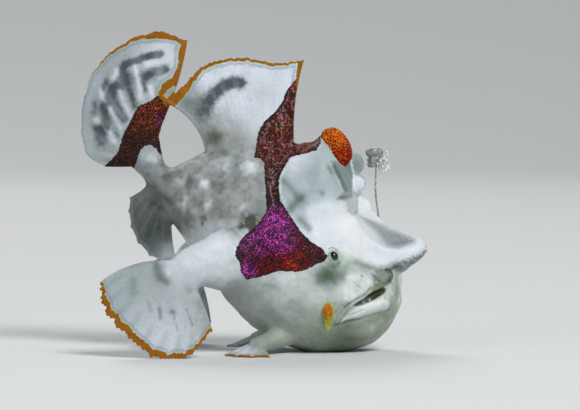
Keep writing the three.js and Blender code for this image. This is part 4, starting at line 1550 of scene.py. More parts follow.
@dataclass(frozen=True)
class WartFinish(Finish):
    """The orange skin of the large warts: two tones along the piece and a dark net over them.

    The rim tone shows where the attribute fringe is 1.
    """

    light: Tint
    deep: Tint
    glow: Tint
    rim: Tint
    specks: float
    cell_mm: float
    net_dark: Tint = (0.045, 0.005, 0.002)

    def inputs(self, graph: Graph) -> dict:
        """The tones, with patches that glow, under the net and the rim.

        Args:
            graph: the material's graph.

        Returns:
            The shader's inputs.
        """
        place = graph.place()
        along = graph.wander(place, 1.6, 2.0, 0.4) + graph.attribute("along")
        colour = graph.mix(graph.between(along, 0.25, 0.85), self.light, self.deep)
        glow = graph.between(graph.noise(place, 0.9), 0.5, 0.68)
        colour = graph.mix(glow * 0.35, colour, self.glow)
        net = graph.between(graph.cells(place, self.cell_mm), 0.3, 0.62)
        colour = graph.mix(net * self.specks, colour, self.net_dark)
        return {
            "Base Color": graph.mix(graph.attribute("fringe"), colour, self.rim),
            "Normal": graph.bump(graph.noise(place, 0.5, 3.0), 0.7, 0.2),
            "Roughness": 0.55,
            "Specular IOR Level": 0.1,
            "Subsurface Weight": 0.1,
            "Subsurface Scale": 0.001,
        }


@dataclass(frozen=True)
class EyeFinish(Finish):
    """The eye: a black pupil in a pale greenish ring, under a clear wet coat."""

    pupil: Tint = (0.003, 0.005, 0.004)
    ring_green: Tint = (0.22, 0.5, 0.3)
    ring_pale: Tint = (0.5, 0.62, 0.52)
    fleck: Tint = (0.1, 0.2, 0.12)

    def inputs(self, graph: Graph) -> dict:
        """Rings by the attribute turn, the angle from the eye's axis in degrees.

        Args:
            graph: the material's graph.

        Returns:
            The shader's inputs.
        """
        place = graph.place()
        turn = graph.noise(place, 0.35, 3.0) * 6.0 + graph.attribute("turn")
        ring = graph.mix(graph.between(turn, 36.0, 56.0), self.ring_green, self.ring_pale)
        flecks = graph.between(graph.noise(place, 0.4), 0.55, 0.7)
        ring = graph.mix(flecks, ring, self.fleck)
        return {
            "Base Color": graph.mix(graph.between(turn, 32.0, 36.0), self.pupil, ring),
            "Roughness": 0.12,
            "Coat Weight": 0.3,
            "Coat Roughness": 0.03,
        }


@dataclass(frozen=True)
class LureFinish(Finish):
    """The lure and its rod: pale translucent flesh, whiter where the attribute bead is 1."""

    flesh: Tint
    bead: Tint

    def inputs(self, graph: Graph) -> dict:
        """Cloudy flesh with the beads over it.

        Args:
            graph: the material's graph.

        Returns:
            The shader's inputs.
        """
        place = graph.place()
        cloud = graph.between(graph.noise(place, 0.8, 3.0), 0.4, 0.65)
        flesh = graph.mix(cloud, self.flesh, tuple(0.5 * value for value in self.flesh))
        return {
            "Base Color": graph.mix(graph.attribute("bead"), flesh, self.bead),
            "Normal": graph.bump(graph.noise(place, 0.4), 0.4, 0.1),
            "Roughness": 0.25,
            "Subsurface Weight": 0.35,
            "Subsurface Scale": 0.0008,
            "Coat Weight": 0.4,
        }


@dataclass(frozen=True)
class FloorFinish(Finish):
    """The studio's plain matt floor."""

    tone: Tint = (0.76, 0.77, 0.77)

    def inputs(self, graph: Graph) -> dict:
        """One tone."""
        return {"Base Color": self.tone, "Roughness": 0.85}


# Pieces


class Piece:
    """What every piece of the fish has in common: it rides on the body and is reported."""

    shift: np.ndarray = np.array([0.0397, 0.0, 0.0])

    def place(
        self, name: str, shell: Shell, material: bpy.types.Material, slot: str, nodes: Sequence[str]
    ) -> bpy.types.Object:
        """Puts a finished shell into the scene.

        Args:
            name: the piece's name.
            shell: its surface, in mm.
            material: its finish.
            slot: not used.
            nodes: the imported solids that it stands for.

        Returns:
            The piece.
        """
        piece = add_mesh(name, shell, self.shift)
        piece.data.materials.append(material)
        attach(piece, BODY)
        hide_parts(*nodes)
        triangles = sum(len(face.vertices) - 2 for face in piece.data.polygons)
        LOG.info("%s: %d triangles, for %s", name, triangles, ", ".join(nodes))
        return piece

    def node_middle(self, node: str) -> np.ndarray:
        """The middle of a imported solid's box, in the shapes' frame."""
        low, high = (np.array(corner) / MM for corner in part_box(node))
        return (low + high) / 2 - self.shift


# What raises or sinks the skin, in the photograph's pixels and in mm


FOLDS = (
    # The horn
    Fold(2.0, 0.5, (318, 208), (335, 207), (346, 210), (354, 222), (363, 236), (373, 246)),
    Fold(1.2, 0.3, (373, 246), (385, 252), (397, 253), (409, 250), (419, 245)),
    Fold(1.5, -0.5, (300, 196), (320, 193), (336, 195), (346, 203)),
    Fold(1.2, -0.8, (345, 262), (362, 269), (378, 273), (393, 273)),
    # The hump's front and its crest
    Fold(
        0.8, 0.55,
        (318, 147), (308, 152), (298, 155), (291, 161), (286, 169), (281, 179), (281, 192),
        (285, 203), (292, 214), (300, 226), (308, 236), (316, 243), (326, 250),
    ),
    Fold(1.3, -1.1, (335, 168), (340, 177), (344, 187), (347, 198)),
    Fold(0.7, 0.8, (353.6, 177), (353.4, 186), (355, 196), (355, 211)),
    Fold(0.45, -0.4, (358.5, 195), (358.2, 204), (358, 211)),
    Fold(1.0, -0.2, (329, 162), (337, 176), (340, 190)),
    Fold(1.6, -0.45, (296, 203), (312, 200), (328, 202), (341, 200)),
    # The lips and the chin
    Fold(1.7, 1.2, (338, 321), (347, 315.5), (358, 310.5), (368, 307), (378, 304), (386, 302)),
    Fold(
        0.55, -0.45,
        (334, 325), (342, 322.5), (350, 320.6), (360, 318.8), (368, 316), (376, 313.6),
        (383, 312.2), (389.5, 309.5), (391, 304), (389.5, 299),
    ),
    Fold(
        0.42, -0.5,
        (344, 308), (350, 303.5), (357, 299.3), (362.3, 297), (366, 294.3), (370, 289.5),
        (373, 285), (373, 281),
    ),
    Fold(0.5, -0.4, (375, 275), (379, 280.5), (383, 283), (388, 283)),
    Fold(1.3, -0.25, (352, 331), (366, 327), (381, 318)),
    # The cheek, the flank and the tail's root
    Fold(1.9, -0.5, (330, 263), (337, 275), (350, 289)),
    Fold(0.9, -0.45, (234, 263), (244, 260), (255, 263)),
    Fold(2.2, 0.3, (262, 280), (290, 284), (318, 272)),
    Fold(1.0, -0.6, (132, 174), (142, 180), (154, 187)),
    Fold(1.3, -0.5, (240, 228), (236, 240), (234, 256)),
    Fold(2.2, -0.5, (236, 288), (252, 300), (270, 322)),
    # Dimples and swellings of the face
    Fold(2.0, -0.3, (286, 187)), Fold(2.4, -0.5, (308, 225)), Fold(1.3, -0.2, (313, 232)),
    Fold(1.2, -0.3, (324, 193)), Fold(2.0, -0.5, (340, 177)), Fold(3.2, -0.35, (309, 169)),
    Fold(3.6, -0.7, (329, 276)), Fold(1.4, -0.6, (377, 285)), Fold(2.0, 0.7, (383.5, 276)),
    Fold(3.4, -0.4, (268, 294)), Fold(5.0, 0.5, (300, 292)), Fold(3.0, 0.3, (285, 285)),
    Fold(2.2, 0.8, (250, 270)), Fold(4.2, 0.6, (271, 236)), Fold(2.2, -0.25, (262, 256)),
    Fold(0.32, 0.8, (363.6, 302.8)), Fold(0.34, 1.0, (369.7, 300)), Fold(0.34, 0.7, (382.7, 297.3)),
    Fold(0.3, 0.35, (372.6, 301.3)), Fold(0.45, 0.5, (391.8, 292.7)),
    Fold(0.35, 0.35, (376.1, 282.4)), Fold(1.2, -0.6, (397, 268)), Fold(4.0, 0.5, (320, 330)),
    # Bumps of the flank
    Fold(1.2, 0.8, (203, 184)), Fold(1.9, 0.8, (225, 165)), Fold(2.1, 0.8, (248, 165)),
    Fold(1.3, 0.6, (207, 207)), Fold(1.1, 0.5, (193, 176)), Fold(1.0, 0.5, (213, 172)),
    Fold(1.3, 0.6, (239, 184)), Fold(1.6, 0.7, (229, 193)), Fold(1.3, 0.6, (252, 193)),
    Fold(1.4, 0.6, (241, 212)), Fold(1.2, 0.5, (191, 213)), Fold(1.1, 0.5, (216, 195)),
    Fold(1.1, 0.5, (181, 191)), Fold(1.2, 0.4, (225, 143)), Fold(1.6, 0.5, (246, 148)),
    Fold(1.3, 0.5, (228, 216)), Fold(1.1, 0.4, (179, 208)), Fold(1.4, 0.5, (221, 229)),
    Fold(0.8, 0.4, (196, 196)), Fold(2.2, 0.7, (150, 162)), Fold(1.0, 0.4, (206, 160)),
    Fold(1.2, 0.4, (168, 196)), Fold(1.0, 0.4, (258, 178)), Fold(0.9, 0.35, (236, 158)),
)
DISH_OUTLINE = (
    (352, 212), (358, 211), (368, 215), (379, 219), (392, 225), (402, 229.5), (411, 234), (417, 238),
    (415, 243), (407, 247), (396, 249.5), (385, 248.5), (374, 243.5), (366, 236), (358, 226),
)


@dataclass
class Skin(Piece):
    """The one skin over head, jaw, trunk, tail, second and third spines, arms, legs and fin bases."""

    voxel_mm: float = 0.58
    even_rounds: int = 3
    fillet_rounds: int = 15
    wear: float = 0.12
    lumps: Sequence[tuple[Points, Points, int]] = (
        ((31.5, -0.8, 50.4), (2.2, 2.0, 2.9), 16),
        ((33.2, 1.0, 43.2), (2.1, 2.2, 2.6), 16),
        ((30.2, 2.6, 56.0), (3.0, 2.2, 3.6), 20),
    )
    stalk: Points = ((29.6, 0.6, 40.0), (30.9, 0.9, 45.0), (31.4, 1.2, 50.3))
    stalk_radius: Sequence[float] = (1.95, 1.3, 1.3)
    mouth: Points = (
        (26.4, 13.2), (29.6, 14.8), (33.0, 16.3), (36.1, 17.8), (38.6, 19.8), (40.8, 22.8),
        (42.6, 25.4),
    )
    mouth_groove: float = 0.8
    lower_lip: float = 0.9
    upper_lip: float = 0.6
    upper_lip_outline: Points = (
        (345, 277), (354, 274), (361, 272.5), (364, 274.5), (369, 278), (372, 282), (371.5, 285.5),
        (369, 289), (365.5, 293.5), (357, 298.3), (350, 302),
    )
    opening: Points = (
        (352, 306.3), (357, 302), (363.5, 298.6), (368, 294.5), (374.5, 291), (379, 288.8),
        (383, 287.3), (386, 288.5), (385, 292), (380, 296), (374.5, 299.6), (368, 302.4),
        (363, 304.4), (357, 306.2),
    )
    opening_depth: float = 2.0
    nubs: Points = ((363.8, 302.6, 0.9), (369.8, 299.9, 1.0), (383, 297, 0.9))
    ridge: Points = ((25, 58), (31, 50), (32.5, 43))
    dish_depth: float = 1.3
    dish_rim: float = 0.25
    neck_wrinkles: float = 0.45
    eye: tuple[float, float] = (23.8, 29.4)
    eye_rim: float = 2.2
    nostril: tuple[float, float] = (31.9, 22.9)
    nostril_rim: float = 0.72
    prickly: Points = ((428, 251), (421, 257), (409, 263.5), (398, 267))
    halo: Sequence[float] = (329, 315, 5.6, 13)

    def build(self, finish: Finish, bases: Sequence[Shell]) -> None:
        """Makes the skin and puts it into the scene.

        Args:
            finish: the wet hide.
            bases: the fleshy bases of the fins, which the skin takes in.
        """
        shell = self.fused_forms(bases)
        shell = softened(refined(shell, self.fine_parts(shell)), 2, 1.0)
        self.shape_skin(shell)
        self.open_mouth(shell)
        shell.points[:, 2] = np.maximum(shell.points[:, 2], 0)
        self.paint(shell)
        limbs = [f"pectoral_arm_{side.label}" for side in Side]
        nodes = ["head", "lower_jaw", "torso", "tail", "second_dorsal_spine", "third_dorsal_spine"]
        self.place("skin", shell, finish.material(), "skin", nodes + limbs)

    def fused_forms(self, bases: Sequence[Shell]) -> Shell:
        """The forms fused into one and softened, so that they run into each other.

        Args:
            bases: the fins' bases.

        Returns:
            The one skin, with an even net of faces.
        """
        forms = [
            TRUNK.shell(150, 120), HORN.shell(80, 64), HUMP.shell(80, 72),
            tube_shell(Line(self.stalk), Line(self.stalk_radius).value, 12, 20),
            *[ball_shell(at, size, rings, rings + 8) for at, size, rings in self.lumps],
            *[ARM.shell(side, 50, 40) for side in Side],
            *[LEG.shell(side, 24, 28) for side in Side],
            *bases,
        ]
        shell = softened(fused(forms, self.voxel_mm), self.even_rounds, 1.0)
        return softened(shell, self.fillet_rounds, self.wear)

    @staticmethod
    def beside(shell: Shell, place: Points) -> tuple[np.ndarray, np.ndarray, np.ndarray]:
        """How far points lie ahead of a place in the side view, above it, and in all."""
        ahead, above = (shell.points[:, [0, 2]] - place).T
        return ahead, above, np.hypot(ahead, above)

    def fine_parts(self, shell: Shell) -> np.ndarray:
        """Which points lie on the bill, the hump's front, and round the mouth, eyes and nostrils.

        Args:
            shell: the skin.

        Returns:
            True or false for each point.
        """
        x, z = shell.points[:, 0], shell.points[:, 2]
        near_eye = self.beside(shell, self.eye)[2] < 4.2
        near_nostril = self.beside(shell, self.nostril)[2] < 1.8
        near_mouth = path_distance(shell.points[:, [0, 2]], self.mouth) < 4.6
        on_ridge = path_distance(shell.points[:, [0, 2]], self.ridge) < 4.5
        on_bill = (x > 30) & (z > 24) & (z < 46)
        return near_mouth | near_eye | near_nostril | on_ridge | on_bill

    def shape_skin(self, shell: Shell) -> None:
        """Moves points along their normals: the sum of folds, dish, lips, rims and noise.

        Args:
            shell: the skin, which is changed.
        """
        places = VIEW.pixels(shell.points)
        creases = [Fold(*mark.crease, *mark.path) for mark in STROKES if mark.crease]
        rise = sum(fold.rise(places) for fold in (*FOLDS, *creases))
        hollow = outline_distance(places, DISH_OUTLINE) * VIEW.mm_per_pixel
        rise -= self.dish_depth * smooth_step(hollow, -0.3, 3.2)
        rise += self.dish_rim * bell(hollow + 0.5, 0.8)
        rise += self.lips(shell, places) + self.eye_rims(shell) + self.nostrils(shell)
        neck = smooth_step(outline_distance(places, NECK), 0.5, 5)
        rise += self.neck_wrinkles * neck * Noise(12)(shell.points * [1, 1, 0.45], 1.7)
        noise = Noise(4)
        rough = smooth_step(-shell.points[:, 0], -10, 4)
        rise += (0.2 + 0.22 * rough) * noise(shell.points, 5.0)
        rise += (0.07 + 0.13 * rough) * noise(shell.points + 50, 2.1)
        shell.push(rise)

    def lips(self, shell: Shell, places: np.ndarray) -> np.ndarray:
        """A full upper lip, and a groove along the mouth's line with a welt under it.

        Args:
            shell: the skin.
            places: the pixels of its points.

        Returns:
            The rise of each point, in mm.
        """
        distance, side = path_gaps(shell.points[:, [0, 2]], Line(self.mouth)(np.linspace(0, 1, 41)))
        above = side * distance
        front = smooth_step(shell.points[:, 0], 37.5, 41)
        front = front * (1 - smooth_step(shell.points[:, 2], 24, 27))
        line = self.lower_lip * bell(above + 2.4, 1.5) - self.mouth_groove * bell(above, 0.5)
        full = smooth_step(outline_distance(places, self.upper_lip_outline), -1.5, 3.0)
        return line * front + self.upper_lip * full

    def eye_rims(self, shell: Shell) -> np.ndarray:
        """A low welt round each eye, wrinkled across, with a shallow moat outside it.

        Args:
            shell: the skin.

        Returns:
            The rise of each point, in mm.
        """
        ahead, above, radius = self.beside(shell, self.eye)
        wrinkle = 1 + 0.3 * np.sin(15 * np.arctan2(above, ahead))
        ring = 0.4 * bell(radius - self.eye_rim, 0.45) * wrinkle
        return ring - 0.35 * bell(radius - self.eye_rim - 1.2, 0.6)

    def nostrils(self, shell: Shell) -> np.ndarray:
        """A small ring with a hole in it on each side of the snout."""
        radius = self.beside(shell, self.nostril)[2]
        return 0.45 * bell(radius - self.nostril_rim, 0.28) - 0.7 * bell(radius, 0.3)

    def opened(self, places: np.ndarray, low: float, high: float) -> np.ndarray:
        """The mouth's opening, less its nubs.

        Args:
            places: photograph pixels.
            low: how many pixels inside its outline it begins.
            high: how many pixels inside it is full.

        Returns:
            A share from 0 to 1 for each place.
        """
        inside = smooth_step(outline_distance(places, self.opening), low, high)
        for x, y, radius in self.nubs:
            inside = inside * (1 - bell(path_distance(places, [(x, y)]), radius))
        return inside

    def open_mouth(self, shell: Shell) -> None:
        """Sinks the skin within the mouth's opening and evens its walls.

        Args:
            shell: the skin, which is changed.
        """
        inside = self.opened(VIEW.pixels(shell.points), -0.6, 1.6)
        shell.push(-self.opening_depth * inside)
        edges = shell.edges()
        soft = 0.4 * smooth_step(inside, 0.0, 0.2)[:, None]
        for _ in range(2):
            shell.points = shell.points + soft * (neighbour_mean(shell.points, edges) - shell.points)

    def paint(self, shell: Shell) -> None:
        """Sets the layers: the markings, the mouth's lining, the halo above its wart, prickles.

        Args:
            shell: the skin, whose layers are set.
        """
        places = add_markings(shell)
        exact = VIEW.pixels(shell.points)
        lining = blended(exact, MOUTH_TONES)
        ground = laid_over(shell.layers["ground"], lining, self.opened(exact, -0.8, 0.8))
        x, y, across, along = self.halo
        distance = np.hypot((places[:, 0] - x) / across, (places[:, 1] - y) / along)
        halo = 0.7 * bell(np.maximum(distance - 0.85, 0), 0.22)
        shell.layers["ground"] = laid_over(ground, Tone.LEMON.linear, halo)
        dish = smooth_step(outline_distance(exact, DISH_OUTLINE), 0, 4)
        dish = dish * smooth_step(places[:, 0], 376, 398)
        tip = bell(path_distance(exact, self.prickly), 5.5)
        tip = tip * smooth_step(shell.points[:, 2], 22, 25)
        valley = smooth_step(outline_distance(exact, VALLEY_OUTLINE), -1.5, 1.5)
        shell.layers["prickle"] = np.max([tip, 0.25 * dish, 0.2 * valley], axis=0)


@dataclass(frozen=True)
class Streak:
    """A slate mark on a fin: its path in photograph pixels, its half width and its strength."""

    path: Points
    half_mm: float
    strength: float = 1.0

    def cover(self, places: np.ndarray) -> np.ndarray:
        """How dark it is at each place: an S-shaped fall over about twice its half width."""
        distance = path_distance(places, self.path) * VIEW.mm_per_pixel / self.half_mm
        return self.strength * (1 - smooth_step(distance, 0.0, 2.1))


@dataclass
class Fin(Piece):
    """A fin: two faces of a membrane ridged by rays that branch towards the margin.

    A point lies on a line from root to tip, bowed by a share of its length; the margin is
    notched between rays, and the whole sways sideways by a power of its place. The first share
    of it also has a fleshy base, which the skin takes in.
    """

    name: str
    node: str
    root: Points
    tip: Points
    bow: Sequence[float]
    rays: int
    root_thick: float
    edge_thick: float
    ray_rise: float
    notch: float
    margin_mm: Sequence[float]
    base_share: float = 0.4
    base_edge: float = 1.0
    sway: float = 0.0
    sway_power: float = 1.0
    follows_tail: bool = False
    ripple_mm: float = 0.25
    per_gap: int = 14
    rows: int = 60
    streaks: Sequence[Streak] = ()
    band: Points = ()
    window: Points = ()
    fray: float = 0.0
    ray_show: float = 1.0
    ray_width: float = 0.11
    ray_from: float = -0.3
    gap_shade: float = 0.0
    gap_from: float = 0.7
    gap_end: float = 0.98
    gap_until: float = 1.0

    def middle(self, u: np.ndarray, v: np.ndarray) -> np.ndarray:
        """The middle of the membrane.

        Args:
            u: shares along the root.
            v: shares from the root out to the margin.

        Returns:
            Points in mm: start + ray * reach + bulge across the ray + sideways sway.
        """
        start = Line(self.in_space(self.root))(u)
        ray = Line(self.in_space(self.tip))(u) - start
        across = np.stack([-ray[..., 2], np.zeros_like(u), ray[..., 0]], axis=-1)
        reach = v * (1 - self.notch * (1 - self.ray(u, np.zeros_like(v)) ** 0.5) * v)
        frill = np.sin(118 * u) + np.sin(71 * u + 1) + np.sin(203 * u + 2)
        reach = reach - self.fray * v**9 * (1 + frill / 2)
        bulge = 4 * v * (1 - v) * Line(self.bow).value(u)
        point = start + ray * reach[..., None] + across * bulge[..., None]
        side = self.sway * v * u**self.sway_power
        side = side + self.ripple_mm * v**2 * np.sin(2 * np.pi * u * (self.rays - 1) / 2)
        if self.follows_tail:
            side = side + tail_swing(point[..., 0])
        return point + side[..., None] * np.array([0.0, 1.0, 0.0])

    @staticmethod
    def in_space(points: Points) -> np.ndarray:
        """Points with three coordinates; those with two lie on the mid-plane."""
        array = np.asarray(points, float)
        return array if array.shape[1] == 3 else np.insert(array, 1, 0.0, axis=1)

    def ray(self, u: np.ndarray, v: np.ndarray) -> np.ndarray:
        """The rays; past half way each is two.

        Args:
            u: shares along the root.
            v: shares out to the margin.

        Returns:
            1 on a ray, falling off as a bell.
        """
        place = u * (self.rays - 1)
        offset = np.abs(place - np.round(place))
        split = 0.17 * smooth_step(v, 0.45, 1.0)
        return bell(offset - split, self.ray_width)

    def gap(self, u: np.ndarray, v: np.ndarray) -> np.ndarray:
        """How much darker the web is between rays, from gap_from to gap_end and up to gap_until.

        Args:
            u: shares along the root.
            v: shares out to the margin.

        Returns:
            Shares from 0 to gap_shade.
        """
        between = ((1 - np.cos(2 * np.pi * u * (self.rays - 1))) / 2) ** 2
        reach = smooth_step(v, self.gap_from - 0.15, self.gap_from + 0.1)
        reach = reach * (1 - smooth_step(v, self.gap_end - 0.12, self.gap_end))
        within = 1 - smooth_step(u, self.gap_until - 0.15, self.gap_until + 0.1)
        return self.gap_shade * between * reach * within

    def two_faced(self, u: np.ndarray, v: np.ndarray, half: np.ndarray) -> Shell:
        """The middle of the membrane thickened to both sides into a closed shell.

        Args:
            u: a grid of shares along the root.
            v: a grid of shares out to the margin.
            half: half the thickness at each.

        Returns:
            The shell, with the points of one face after those of the other.
        """
        step = 0.01
        along = self.middle(np.minimum(u + step, 1), v) - self.middle(np.maximum(u - step, 0), v)
        out = self.middle(u, np.minimum(v + step, 1)) - self.middle(u, np.maximum(v - step, 0))
        facing = np.cross(along, out)
        facing /= np.linalg.norm(facing, axis=-1, keepdims=True)
        middle = self.middle(u, v)
        faces = [middle + way * half[..., None] * facing for way in (1, -1)]
        front = np.arange(u.size).reshape(u.shape)
        back = front + u.size
        quads = [np.stack([front[:-1, :-1], front[1:, :-1], front[1:, 1:], front[:-1, 1:]], axis=-1)]
        quads.append(np.stack([back[:-1, :-1], back[:-1, 1:], back[1:, 1:], back[1:, :-1]], axis=-1))
        rim = np.concatenate([front[:, 0], front[-1, 1:], front[-2::-1, -1], front[0, -2:0:-1]])
        after = np.roll(rim, -1)
        quads.append(np.stack([rim, rim + u.size, after + u.size, after], axis=-1))
        points = np.vstack([face.reshape(-1, 3) for face in faces])
        points[:, 2] = np.maximum(points[:, 2], 0)
        return outwards(Shell(points, np.vstack([quad.reshape(-1, 4) for quad in quads])))

    def base(self) -> Shell:
        """The fleshy base: thicker than the membrane at the root, and thinner where it ends.

        Returns:
            The closed base.
        """
        u, v = np.meshgrid(np.linspace(0, 1, 60), np.linspace(0, self.base_share, 20), indexing="ij")
        root_half, edge_half = 0.62 * self.root_thick, self.base_edge / 2
        half = edge_half + (root_half - edge_half) * (1 - v / self.base_share) ** 1.2
        return self.two_faced(u, v, half)

    def shell(self) -> Shell:
        """The membrane, thinner towards its margin and thicker by the rays.

        Returns:
            The closed fin with its layers.
        """
        columns = np.linspace(0, 1, (self.rays - 1) * self.per_gap + 1)
        u, v = np.meshgrid(columns, np.linspace(0, 1, self.rows + 1), indexing="ij")
        web = (self.root_thick + (self.edge_thick - self.root_thick) * v**0.55) / 2
        fade = np.sin(np.pi * np.minimum(v + 0.12, 0.9))
        rays = self.ray(u, v) * fade * smooth_step(v, self.ray_from, self.ray_from + 0.3)
        shell = self.two_faced(u, v, web + 0.6 * self.ray_rise * rays)
        reach = self.middle(u, np.ones_like(v)) - self.middle(u, np.zeros_like(v))
        margin = Line(self.margin_mm).value(u) - (1 - v) * np.linalg.norm(reach, axis=-1)
        shell.layers["ray"] = np.concatenate([(self.ray_show * rays).ravel()] * 2)
        shell.layers["gap"] = np.concatenate([self.gap(u, v).ravel()] * 2)
        orange = np.concatenate([margin.ravel()] * 2)
        places = add_markings(shell)
        if self.band:
            orange = np.maximum(orange, outline_distance(places, self.band) * VIEW.mm_per_pixel)
        if self.window:
            orange = np.minimum(orange, -outline_distance(places, self.window) * VIEW.mm_per_pixel)
        shell.layers["orange"] = orange
        shell.layers["prickle"] = np.zeros(len(shell.points))
        shell.layers["slate"] = np.max(
            [np.zeros(len(places)), *[streak.cover(places) for streak in self.streaks]], axis=0
        )
        return shell

    def build(self, finish: bpy.types.Material) -> None:
        """Makes the fin and puts it into the scene."""
        self.place(self.name, self.shell(), finish, "fin", [self.node])


@dataclass
class Eye(Piece):
    """An eyeball that stands a little out of the head, with a bulging pupil."""

    side: Side
    radius: float = 2.2
    pupil_bulge: float = 0.22
    turned: tuple[float, float] = (0.3, 0.18)
    pupil_size: tuple[float, float] = (0.9, 1.18)
    pupil_lean: float = -0.3

    def build(self, finish: bpy.types.Material) -> None:
        """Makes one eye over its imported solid.

        Args:
            finish: its material.
        """
        node = f"eye_{self.side.label}"
        centre = self.node_middle(node)
        facing = np.array([self.turned[0], self.side.value, self.turned[1]])
        facing /= np.linalg.norm(facing)
        over = np.cross(facing, [0.0, 0.0, 1.0])
        over /= np.linalg.norm(over)
        up = np.cross(over, facing)

        def at(share: np.ndarray, angle: np.ndarray) -> np.ndarray:
            """The ball at shares from the pupil to the back, swollen by a bell at the pupil."""
            size = self.radius + self.pupil_bulge * bell(np.pi * share, 0.6)
            return centre + (ball_points(share, angle) * size[..., None]) @ [over, up, facing]

        shell = ring_shell(at, 60, 64)
        out = shell.points - centre
        wide, tall = out @ (over + self.pupil_lean * up), out @ up
        off_axis = np.hypot(wide / self.pupil_size[0], tall / self.pupil_size[1])
        shell.layers["turn"] = np.degrees(np.arctan2(off_axis, out @ facing))
        self.place(f"eyeball_{self.side.label}", shell, finish, "eye", [node])


def turned(points: np.ndarray, angle: float, first: int, second: int) -> np.ndarray:
    """Points turned about the origin, from one axis towards another, by an angle in radians."""
    turn = np.eye(3)
    turn[first, first] = turn[second, second] = math.cos(angle)
    turn[first, second], turn[second, first] = math.sin(angle), -math.sin(angle)
    return points @ turn


@dataclass
class Wart(Piece):
    """A large bumpy wart: a leant egg, narrowed towards its lower end, with pimples on it.

    The fringe is a belt round it, at a share of its half width out from the fish.
    """

    name: str
    node: str
    at: Points
    size: Points
    outward: Side
    fringe_at: float
    fringe_width: float
    splay: float = 0.0
    lean: float = 0.0
    narrowing: float = 0.0
    pimple_mm: float = 0.16

    def build(self, finish: bpy.types.Material) -> None:
        """Makes the wart and puts it into the scene.

        Args:
            finish: its material.
        """
        shell = ball_shell((0, 0, 0), self.size, 90, 96)
        height = shell.points[:, 2] / self.size[2]
        out = self.outward.value * shell.points[:, 1] / self.size[1]
        shell.layers["along"] = (1 - height) / 2
        shell.layers["fringe"] = bell(out - self.fringe_at, self.fringe_width)
        narrow = 1 - self.narrowing * smooth_step(-height, -0.35, 0.3)
        shell.points[:, :2] *= narrow[:, None]
        noise = Noise(21)
        bumps = np.abs(noise(shell.points, 0.75)) + 0.6 * noise(shell.points + 9, 1.6)
        shell.push(self.pimple_mm * bumps)
        shell.points = turned(turned(shell.points, self.splay, 1, 2), self.lean, 2, 0) + self.at
        self.place(self.name, shell, finish, "wart", [self.node])


@dataclass
class Rod(Piece):
    """The fishing rod: a thin tapered stalk with two nodules, from the snout to the lure."""

    line: Points = (
        (38.0, 5.6, 22.5), (38.6, 7.5, 31.0), (37.6, 7.4, 39.9), (36.7, 6.2, 47.5), (36.8, 4.6, 56.0),
    )
    radius: Sequence[float] = (0.62, 0.4, 0.33, 0.28, 0.3)
    nodules: Sequence[float] = (48.9, 51.1)
    nodule_rise: float = 0.16

    def build(self, finish: bpy.types.Material) -> None:
        """Makes the rod and puts it into the scene.

        Args:
            finish: its material.
        """
        shell = tube_shell(Line(self.line), Line(self.radius).value, 160, 20)
        bead = sum(bell(shell.points[:, 2] - level, 0.4) for level in self.nodules)
        shell.push(0.05 * Noise(17)(shell.points, 1.2) + self.nodule_rise * bead)
        shell.layers["bead"] = np.clip(bead, 0, 1)
        self.place("fishing_rod", shell, finish, "rod", ["illicium"])


@dataclass
class Lure(Piece):
    """The lure: a wrinkled fleshy block, a lump under it, and white beads on short filaments.

    Each bead is a photograph pixel and a radius in mm.
    """

    block: Points = (36.2, 4.5, 59.4)
    block_size: Points = (2.8, 1.3, 1.35)
    lump: Points = (35.6, 4.5, 56.6)
    lump_size: Points = (1.7, 1.25, 1.9)
    beads: Points = (
        (386.8, 151.5, 0.34), (387.2, 154.5, 0.36), (386.2, 160, 0.34), (384.6, 163, 0.32),
        (388.4, 165.5, 0.3), (388.2, 168, 0.36), (385.8, 169.8, 0.34), (382.2, 172, 0.36),
        (386.6, 166.3, 0.3), (380.2, 171, 0.36), (377.6, 163.8, 0.3), (383.6, 158, 0.3),
        (382.6, 166.4, 0.32), (380.6, 160.6, 0.28), (384.2, 155.4, 0.28), (378.8, 168, 0.3),
        (369, 162.4, 0.42),
    )
    filament_radius: float = 0.1
    filament_white: float = 0.1
    middle: Points = (36.9, 4.5, 57.6)

    def build(self, finish: bpy.types.Material) -> None:
        """Makes the lure and puts it into the scene.

        Args:
            finish: its material.
        """
        shells = [self.lumpy(self.block, self.block_size, 3.0)]
        shells.append(self.lumpy(self.lump, self.lump_size, 2.2))
        whiteness = [np.zeros(len(shell.points)) for shell in shells]
        random = np.random.default_rng(6)
        thin = Line([self.filament_radius] * 3).value
        for x, y, radius in self.beads:
            tip = VIEW.at_pixel(x, y, self.middle[1] + random.uniform(-1.5, 1.5))
            root = self.middle + 0.15 * (tip - self.middle)
            bend = (root + tip) / 2 + random.normal(0, 0.25, 3)
            filament = tube_shell(Line([root, bend, tip]), thin, 10, 8)
            bead = ball_shell(tip, radius * np.array([1.0, 1.0, 1.15]), 8, 12)
            shells += [filament, bead]
            whiteness += [np.full(len(filament.points), self.filament_white), np.ones(len(bead.points))]
        shell = Shell.join(shells)
        shell.layers["bead"] = np.concatenate(whiteness)
        self.place("lure", shell, finish, "lure", ["esca"])

    @staticmethod
    def lumpy(at: Points, size: Points, squareness: float) -> Shell:
        """A superellipsoid of that squareness with noisy wrinkles.

        Args:
            at: its middle, in mm.
            size: its half sizes.
            squareness: the exponent; 2 is an egg and more is boxier.

        Returns:
            The shell.
        """
        shell = ball_shell((0, 0, 0), size, 50, 56)
        share = (np.abs(shell.points / size) ** squareness).sum(axis=1) ** (1 / squareness)
        shell.points = shell.points / np.maximum(share, 0.2)[:, None] * 0.94
        shell.push(0.25 * Noise(5)(shell.points * [1.6, 1, 1], 0.7))
        shell.points = shell.points + np.asarray(at)
        return shell


# The studio


